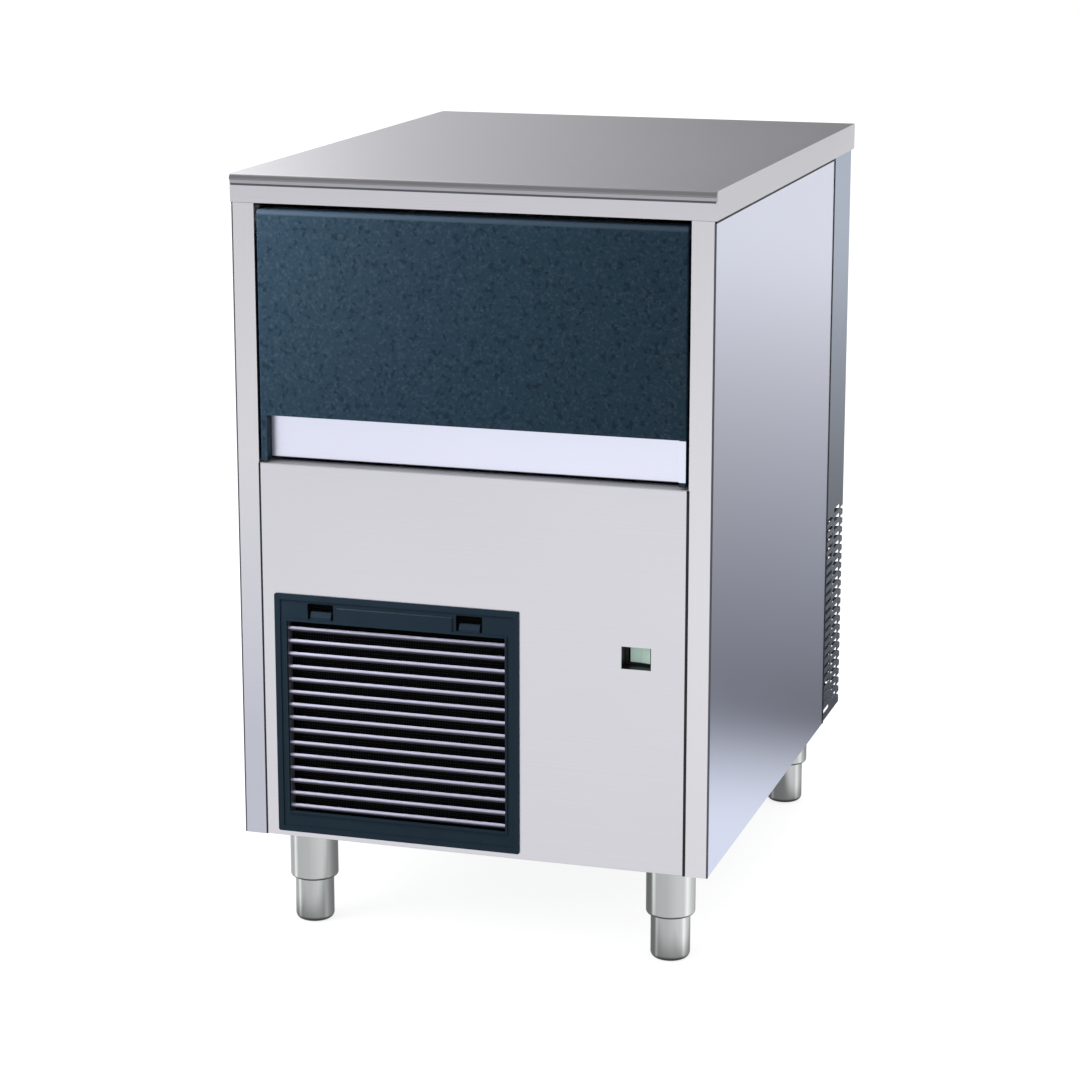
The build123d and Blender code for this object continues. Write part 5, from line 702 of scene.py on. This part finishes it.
class ICEMACHINE_OT_door(bpy.types.Operator):
    """Finish the bin door"""

    bl_idname = "icemachine.door"
    bl_label = "Bin Door"

    def execute(self, context):
        _, plastic, _ = settings()
        clothe(leather_grain(plastic.door_color, plastic.grain), "door_panel")
        strip_low, strip_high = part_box("door_handle_strip")
        door_low, door_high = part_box("door_panel")
        tab = bmesh.new()
        add_strip(tab, (strip_high[0], door_low[1] - TAB_PROUD, strip_low[2] + TAB_LIFT),
                  (door_high[0] - TAB_MARGIN, door_low[1] - SMALL_GAP, strip_high[2]))
        steel = NODES["door_handle_strip"].data.materials[0]
        add_piece("handle_strip_end_tab", tab, "door", steel)
        white = moulded("White Food Moulding", plastic.liner_color, roughness=0.38)
        clothe(white, "door_back_panel", "bin_liner", "ice_spout", "ice_chute", "water_tank")
        return {"FINISHED"}


class ICEMACHINE_OT_grille(bpy.types.Operator):
    """Finish the air grille and its filter"""

    bl_idname = "icemachine.grille"
    bl_label = "Air Grille"

    def execute(self, context):
        _, plastic, _ = settings()
        dark = moulded("Dark Grille Moulding", plastic.grille_color, roughness=0.42,
                       specular_ior_level=0.09)
        clothe(dark, "grille_frame")
        clothe(louvre_plastic(plastic.blade_color), "grille_louvres")
        gauze = moulded("Filter Mesh", (0.004, 0.004, 0.005), roughness=0.8, specular_ior_level=0.1)
        clothe(gauze, "air_filter")
        return {"FINISHED"}


class ICEMACHINE_OT_switch(bpy.types.Operator):
    """Finish the power rocker and its tunnel"""

    bl_idname = "icemachine.switch"
    bl_label = "Power Switch"

    def execute(self, context):
        _, plastic, _ = settings()
        clothe(moulded("Black Switch Moulding", (0.012, 0.013, 0.014), roughness=0.4), "switch_body")
        lens = moulded("Rocker Lens", plastic.rocker_color, roughness=0.22, speck=500, depth=0.02 * MM,
                       coat_weight=0.3, emission_color=LENS_GLOW_COLOR, emission_strength=LENS_GLOW)
        clothe(lens, "power_rocker")
        return {"FINISHED"}


class ICEMACHINE_OT_insulation(bpy.types.Operator):
    """Finish the foam"""

    bl_idname = "icemachine.insulation"
    bl_label = "Insulation"

    def execute(self, context):
        clothe(foam((0.80, 0.72, 0.50)), "bin_insulation", "evaporator_insulation")
        return {"FINISHED"}


class ICEMACHINE_OT_cooling(bpy.types.Operator):
    """Finish the refrigeration parts"""

    bl_idname = "icemachine.cooling"
    bl_label = "Refrigeration"

    def execute(self, context):
        clothe(turned("Fin Aluminium", (0.74, 0.75, 0.76), roughness=0.35), "condenser_fins")
        clothe(copper((0.72, 0.40, 0.26)), "condenser_coil", "refrigerant_lines", "filter_drier")
        clothe(painted("Satin Black Paint", (0.016, 0.016, 0.017)), "compressor", "fan_motor")
        clothe(moulded("Black Rubber", (0.018, 0.018, 0.018), roughness=0.8), "compressor_mounts")
        clothe(moulded("Black Fan Moulding", (0.02, 0.02, 0.022), roughness=0.45), "fan_blades")
        return {"FINISHED"}


class ICEMACHINE_OT_ice_unit(bpy.types.Operator):
    """Finish the flake-ice unit and its drive"""

    bl_idname = "icemachine.ice_unit"
    bl_label = "Flake-ice Unit"

    def execute(self, context):
        clothe(turned("Turned Stainless", (0.66, 0.66, 0.68), roughness=0.28), "auger", "ice_breaker",
               "evaporator_barrel", "extruding_head")
        clothe(painted("Cast Aluminium", (0.42, 0.43, 0.44), roughness=0.5), "gearbox")
        clothe(painted("Grey Motor Paint", (0.10, 0.12, 0.13), roughness=0.4), "gearmotor")
        return {"FINISHED"}


class ICEMACHINE_OT_water(bpy.types.Operator):
    """Finish the water and cable fittings"""

    bl_idname = "icemachine.water"
    bl_label = "Water and Cable Fittings"

    def execute(self, context):
        hose = moulded("Milky Hose", (0.74, 0.78, 0.80), roughness=0.25, transmission_weight=0.35)
        clothe(hose, "feed_hose", "inlet_hose", "drain_hose")
        nylon = moulded("Natural Nylon", (0.74, 0.73, 0.69), roughness=0.4)
        clothe(nylon, "door_slide_shoes", "float_valve", "float_arm", "drain_spigot", "cable_gland")
        clothe(turned("Brass", (0.70, 0.52, 0.26), roughness=0.25), "water_inlet_fitting")
        return {"FINISHED"}


def side_shadow_strips(joint_width, rubber, shadow):
    """The dark strips of the right side, painted shade in its joints: each one's name, the corners of its
    strips and its material.
    """
    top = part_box("top_panel")[0][2]
    side_low, side_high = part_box("right_side_panel")
    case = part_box("rear_casing")[1][0]
    panel_low, panel_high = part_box("lower_front_panel")
    stile_low, stile_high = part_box("right_stile")
    front, foot, head = panel_low[1], side_low[2], top - UNDER_STRIP - SMALL_GAP
    outer = side_high[0]
    seam = side_high[1] - SEAM_LAP
    joint = (panel_high[0] + stile_low[0]) / 2
    return (
        ("top_shadow_strip", (
            ((outer, side_low[1], top - UNDER_STRIP),
             (outer + UNDER_STRIP_PROUD, side_high[1], top - SMALL_GAP)),
        ), rubber),
        ("seam_shadow_strip", (
            ((outer, seam, foot), (outer + STRIP_PROUD, seam + SEAM_WIDE, head)),
            ((case, side_high[1], foot), (outer, side_high[1] + SEAM_FILL, head)),
        ), rubber),
        ("corner_shadow_strip", (
            ((stile_high[0], front + SMALL_GAP, foot), (outer + STRIP_PROUD, side_low[1], head)),
            ((outer, side_low[1], foot), (outer + STRIP_PROUD, side_low[1] + 2 * CORNER_STRIP, head)),
        ), shadow),
        ("joint_shadow_strip", (
            ((joint - joint_width / 2, front - STRIP_PROUD, panel_low[2]),
             (joint + joint_width / 2, front, panel_high[2])),
        ), rubber),
    )


class ICEMACHINE_OT_shadow_strips(bpy.types.Operator):
    """Add dark strips in the joints of the cabinet sheet, painted shade in the gaps"""

    bl_idname = "icemachine.seals"
    bl_label = "Joint Shadow Strips"

    def execute(self, context):
        # painted shade: black and grey strips fill the joints where there is only a gap's shadow
        rubber = moulded("Black Painted Joint Shadow", (0.022, 0.026, 0.032), roughness=0.5,
                         specular_ior_level=0.2)
        shadow = moulded("Grey Painted Joint Shadow", (0.10, 0.11, 0.14), roughness=0.5)
        top_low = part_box("top_panel")[0]
        crease = bmesh.new()
        crease_top = CAD_HIGH[2] - CREASE_DROP
        crease_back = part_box("lower_front_panel")[0][1] - CREASE_SET
        # painted shade: a grey line under the top's nose, for the shadow of its step
        add_strip(crease,
                  (top_low[0] + CREASE_MARGIN, crease_back - STRIP_PROUD, crease_top - CREASE_WIDE),
                  (-top_low[0] - CREASE_MARGIN, crease_back, crease_top))
        add_piece("top_crease_shadow", crease, "cabinet", shadow)
        for side, name in ((-1, "left"), (1, "right")):
            for kind, strips, material in side_shadow_strips(JOINT_WIDTHS[name], rubber, shadow):
                mesh = bmesh.new()
                for low, high in strips:
                    ends = sorted((side * low[0], side * high[0]))
                    add_strip(mesh, (ends[0], *low[1:]), (ends[1], *high[1:]))
                add_piece(f"{name}_{kind}", mesh, "cabinet", material)
        return {"FINISHED"}


def thread_ridge():
    """The helical ridge of the inlet's male thread, which runs out at both ends."""
    low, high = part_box("water_inlet_fitting")
    across, height = (low[0] + high[0]) / 2, (low[2] + high[2]) / 2
    start, end = high[1] - INLET_THREAD_L, high[1] - 1.0 * MM
    steps = int((end - start) / THREAD_PITCH * THREAD_SIDES)
    ridge = bmesh.new()
    rows = []
    for step in range(steps + 1):
        angle = 2 * math.pi * step / THREAD_SIDES
        y = start + (end - start) * step / steps
        taper = min(1.0, step / THREAD_SIDES, (steps - step) / THREAD_SIDES)
        foot = INLET_THREAD_R - THREAD_SINK
        crest = INLET_THREAD_R + THREAD_RIDGE * taper
        rows.append([
            ridge.verts.new((across + r * math.cos(angle), y + share * THREAD_PITCH,
                             height + r * math.sin(angle)))
            for r, share in ((foot, -THREAD_FOOT), (crest, 0.0), (foot, THREAD_FOOT))])
    for first, second in zip(rows, rows[1:]):
        for i in range(3):
            j = (i + 1) % 3
            ridge.faces.new((first[i], second[i], second[j], first[j]))
    ridge.faces.new(rows[0])
    ridge.faces.new(list(reversed(rows[-1])))
    return ridge


class ICEMACHINE_OT_rear_fittings(bpy.types.Operator):
    """Add the screws of the rear casing and the thread of the water inlet"""

    bl_idname = "icemachine.rear_fittings"
    bl_label = "Rear Fittings"

    def execute(self, context):
        case_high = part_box("rear_casing")[1]
        plate_low, plate_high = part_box("connection_plate")
        edge, top = case_high[0] - SCREW_EDGE, case_high[2] - SCREW_DROP
        places = [(x, z) for x in (-edge, edge) for z in (*SCREW_ROWS, top)]
        places.append((0, top))
        for x in (plate_low[0] + PLATE_SCREW_EDGE, plate_high[0] - PLATE_SCREW_EDGE):
            places.append((x, plate_high[2] + PLATE_SCREW_LIFT))
        steel = turned("Screw Steel", (0.60, 0.60, 0.62), roughness=0.3)
        for index, (x, z) in enumerate(places):
            screw = bmesh.new()
            add_screw(screw, (x, case_high[1], z), (0, 1, 0))
            add_piece(f"rear_screw_{index + 1}", screw, "cabinet", steel)
        brass = NODES["water_inlet_fitting"].data.materials[0]
        add_piece("water_inlet_thread", thread_ridge(), "cabinet", brass)
        return {"FINISHED"}


class ICEMACHINE_OT_filter_wires(bpy.types.Operator):
    """Add the woven wires on the face of the air filter"""

    bl_idname = "icemachine.filter_wires"
    bl_label = "Filter Wires"

    def execute(self, context):
        low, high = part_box("air_filter")
        wires = bmesh.new()
        for axis, back in ((0, low[1] - WIRE_SEAT), (2, low[1] - WIRE_SEAT - WIRE)):
            other = 2 - axis
            count = int((high[axis] - low[axis] - 2 * WIRE_EDGE) / WIRE_PITCH)
            first = (high[axis] + low[axis] - (count - 1) * WIRE_PITCH) / 2
            for index in range(count):
                start = [0, back - WIRE, 0]
                end = [0, back, 0]
                start[axis] = first + index * WIRE_PITCH - WIRE / 2
                end[axis] = start[axis] + WIRE
                start[other], end[other] = low[other] + WIRE_END, high[other] - WIRE_END
                add_bar(wires, start, end)
        wire = moulded("Filter Wire", (0.010, 0.011, 0.013), roughness=0.6, specular_ior_level=0.15)
        add_piece("filter_wires", wires, "grille", wire)
        return {"FINISHED"}


class ICEMACHINE_OT_stage(bpy.types.Operator):
    """Set the floor, light and camera"""

    bl_idname = "icemachine.stage"
    bl_label = "Stage"

    def execute(self, context):
        _, _, stage = settings()
        make_floor(stage)
        make_world(stage.sky_strength)
        make_lamps()
        make_camera(stage)
        return {"FINISHED"}


def ray_is(tree, *kinds):
    """A factor that is 1 for rays of the kinds named, such as Is Camera Ray."""
    path = tree.nodes.new("ShaderNodeLightPath")
    total = path.outputs[kinds[0]]
    for kind in kinds[1:]:
        total = join(tree, "MAXIMUM", total, path.outputs[kind])
    return total


def join(tree, operation, first, second):
    """Two values, sockets or numbers, put together by one sum."""
    node = tree.nodes.new("ShaderNodeMath")
    node.operation = operation
    for socket, value in zip(node.inputs, (first, second)):
        if isinstance(value, (int, float)):
            socket.default_value = value
        else:
            tree.links.new(value, socket)
    return node.outputs[0]


def ease(tree, source, start, end, low, high, curve="SMOOTHSTEP"):
    """A value that goes from low at the start to high at the end."""
    node = tree.nodes.new("ShaderNodeMapRange")
    node.interpolation_type = curve
    for key, value in (("From Min", start), ("From Max", end), ("To Min", low), ("To Max", high)):
        node.inputs[key].default_value = value
    tree.links.new(source, node.inputs["Value"])
    return node.outputs["Result"]


def floor_glow(tree, stage):
    """What the sheet sees of the floor: bright in front, a dim band behind, dark under the machine."""
    place = tree.nodes.new("ShaderNodeTexCoord")
    axes = tree.nodes.new("ShaderNodeSeparateXYZ")
    tree.links.new(place.outputs["Object"], axes.inputs[0])
    across, back = axes.outputs[0], axes.outputs[1]
    front = join(tree, "MULTIPLY", ease(tree, back, *GLOW_BACK), ease(tree, across, *GLOW_ACROSS))
    near = join(tree, "MULTIPLY", front,
                ease(tree, back, stage.dim_near - DIM_FADE, stage.dim_near, stage.front_glow, 0.0))
    far = ease(tree, back, stage.dim_far, stage.dim_far + DIM_RISE, DIM_GLOW, stage.far_glow, "LINEAR")
    glow = join(tree, "MAXIMUM", near, far)
    shares = []
    for axis, reach in ((across, CAD_HIGH[0]), (back, CAD_HIGH[1])):
        size = tree.nodes.new("ShaderNodeMath")
        size.operation = "ABSOLUTE"
        tree.links.new(axis, size.inputs[0])
        shares.append(join(tree, "DIVIDE", size.outputs[0], reach))
    outside = ease(tree, join(tree, "MAXIMUM", *shares), *GLOW_OUTSIDE)
    return join(tree, "MULTIPLY", glow, outside)


def make_floor(stage):
    """A wide pale floor, white to the camera but for the object's soft shadow."""
    mesh = bmesh.new()
    corners = [mesh.verts.new((x * FLOOR_REACH, y * FLOOR_REACH, 0))
               for x, y in ((-1, -1), (1, -1), (1, 1), (-1, 1))]
    mesh.faces.new(corners)
    data = bpy.data.meshes.new("Floor")
    mesh.to_mesh(data)
    mesh.free()
    floor = bpy.data.objects.new("Floor", data)
    bpy.context.scene.collection.objects.link(floor)
    material = bpy.data.materials.new("Pale Floor")
    material.use_nodes = True
    tree = material.node_tree
    tree.nodes.clear()
    glossy = ray_is(tree, "Is Glossy Ray")
    tint = tree.nodes.new("ShaderNodeMix")
    tint.data_type = "RGBA"
    tint.inputs["A"].default_value = (FLOOR_PALE, FLOOR_PALE, FLOOR_PALE, 1)
    tint.inputs["B"].default_value = (FLOOR_DIM, FLOOR_DIM, FLOOR_DIM, 1)
    tree.links.new(glossy, tint.inputs["Factor"])
    matt = tree.nodes.new("ShaderNodeBsdfDiffuse")
    tree.links.new(tint.outputs["Result"], matt.inputs["Color"])
    seen = join(tree, "MULTIPLY", ray_is(tree, "Is Camera Ray", "Is Transmission Ray"), stage.floor_lift)
    mirrored = join(tree, "MULTIPLY", glossy, floor_glow(tree, stage))
    glow = tree.nodes.new("ShaderNodeEmission")
    glow.inputs["Color"].default_value = WHITE
    tree.links.new(join(tree, "MAXIMUM", seen, mirrored), glow.inputs["Strength"])
    both = tree.nodes.new("ShaderNodeAddShader")
    tree.links.new(matt.outputs[0], both.inputs[0])
    tree.links.new(glow.outputs[0], both.inputs[1])
    output = tree.nodes.new("ShaderNodeOutputMaterial")
    tree.links.new(both.outputs[0], output.inputs["Surface"])
    data.materials.append(material)


def make_world(strength):
    """White to the camera; in reflections, bright on the left, dimmer on the right and before the machine."""
    world = bpy.data.worlds.new("Studio")
    bpy.context.scene.world = world
    world.use_nodes = True
    tree = world.node_tree
    tree.nodes.clear()
    place = tree.nodes.new("ShaderNodeTexCoord")
    axes = tree.nodes.new("ShaderNodeSeparateXYZ")
    tree.links.new(place.outputs["Generated"], axes.inputs[0])
    x, y, _ = axes.outputs
    across = join(tree, "ADD", ease(tree, x, *SKY_ACROSS), ease(tree, x, *SKY_LEFT))
    behind = ease(tree, y, *SKY_BEHIND)
    before = ease(tree, y, *SKY_BEFORE)
    studio = tree.nodes.new("ShaderNodeBackground")
    light = join(tree, "ADD", join(tree, "MULTIPLY", across, behind), before)
    tree.links.new(light, studio.inputs["Strength"])
    even = tree.nodes.new("ShaderNodeBackground")
    even.inputs["Strength"].default_value = strength
    white = tree.nodes.new("ShaderNodeBackground")
    for background in (studio, even, white):
        background.inputs["Color"].default_value = WHITE
    glossy = tree.nodes.new("ShaderNodeMixShader")
    tree.links.new(ray_is(tree, "Is Glossy Ray"), glossy.inputs[0])
    tree.links.new(even.outputs[0], glossy.inputs[1])
    tree.links.new(studio.outputs[0], glossy.inputs[2])
    seen = tree.nodes.new("ShaderNodeMixShader")
    tree.links.new(ray_is(tree, "Is Camera Ray"), seen.inputs[0])
    tree.links.new(glossy.outputs[0], seen.inputs[1])
    tree.links.new(white.outputs[0], seen.inputs[2])
    output = tree.nodes.new("ShaderNodeOutputWorld")
    tree.links.new(seen.outputs[0], output.inputs["Surface"])


def add_lamp(name, place, target, width, height, radiance):
    """A soft box that shines at a target; radiance 1 looks white."""
    data = bpy.data.lights.new(name, "AREA")
    data.shape = "RECTANGLE"
    data.size, data.size_y = width, height
    data.energy = radiance * math.pi * width * height
    lamp = bpy.data.objects.new(name, data)
    bpy.context.scene.collection.objects.link(lamp)
    place = Vector(place)
    lamp.matrix_world = Matrix.Translation(place) @ (
        (Vector(target) - place).to_track_quat("-Z", "Y").to_matrix().to_4x4())
    return lamp


def make_lamps():
    """Large soft boxes to the front left and overhead, and a near one that lights the door and the grille."""
    middle = (CAD_LOW + CAD_HIGH) / 2
    key = add_lamp("Key Softbox", (-2.6, -2.4, 1.7), middle, width=2.2, height=2.2, radiance=1.9)
    top = add_lamp("Top Softbox", (-0.4, -0.4, 3.2), middle, width=2.6, height=2.6, radiance=1.3)
    for lamp in (key, top):
        lamp.visible_glossy = False
    near = add_lamp("Door Softbox", (-0.52, -0.62, 0.90), (-0.15, CAD_LOW[1], 0.62),
                    width=0.3, height=0.4, radiance=20.0)
    near.visible_camera = False
    lit = bpy.data.collections.new("Lit by the Door Softbox")
    for name in ("door_panel", "grille_frame", "grille_louvres"):
        lit.objects.link(NODES[name])
    near.light_linking.receiver_collection = lit


def make_camera(stage):
    """The camera at the photograph's angle."""
    data = bpy.data.cameras.new("Camera")
    data.lens = stage.lens
    camera = bpy.data.objects.new("Camera", data)
    bpy.context.scene.collection.objects.link(camera)
    camera.location = stage.camera_place
    camera.rotation_euler = (math.pi / 2 - stage.camera_dip, 0, stage.camera_turn)
    bpy.context.scene.camera = camera
    bpy.context.scene.view_settings.view_transform = "Standard"


STEPS = (
    "cabinet_sheet", "feet", "door", "grille", "switch", "insulation", "cooling", "ice_unit", "water",
    "seals", "rear_fittings", "filter_wires", "stage",
)


class ICEMACHINE_PT_finish(bpy.types.Panel):
    """Lists the steps of the finish"""

    bl_label = "Ice Machine"
    bl_idname = "ICEMACHINE_PT_finish"
    bl_space_type = "VIEW_3D"
    bl_region_type = "UI"
    bl_category = "Ice Machine"

    def draw(self, context):
        for step in STEPS:
            self.layout.operator(f"icemachine.{step}")


CLASSES = (
    SheetFinish, PlasticFinish, StageSettings, ICEMACHINE_OT_cabinet_sheet, ICEMACHINE_OT_feet,
    ICEMACHINE_OT_door, ICEMACHINE_OT_grille, ICEMACHINE_OT_switch, ICEMACHINE_OT_insulation,
    ICEMACHINE_OT_cooling, ICEMACHINE_OT_ice_unit, ICEMACHINE_OT_water, ICEMACHINE_OT_shadow_strips,
    ICEMACHINE_OT_rear_fittings, ICEMACHINE_OT_filter_wires, ICEMACHINE_OT_stage,
    ICEMACHINE_PT_finish,
)


def register():
    for cls in CLASSES:
        bpy.utils.register_class(cls)
    bpy.types.Scene.ice_sheet = PointerProperty(type=SheetFinish)
    bpy.types.Scene.ice_plastic = PointerProperty(type=PlasticFinish)
    bpy.types.Scene.ice_stage = PointerProperty(type=StageSettings)


def unregister():
    del bpy.types.Scene.ice_stage
    del bpy.types.Scene.ice_plastic
    del bpy.types.Scene.ice_sheet
    for cls in reversed(CLASSES):
        bpy.utils.unregister_class(cls)


def main():
    """Run every step in order."""
    register()
    for step in STEPS:
        getattr(bpy.ops.icemachine, step)()


if __name__ == "__main__":
    main()
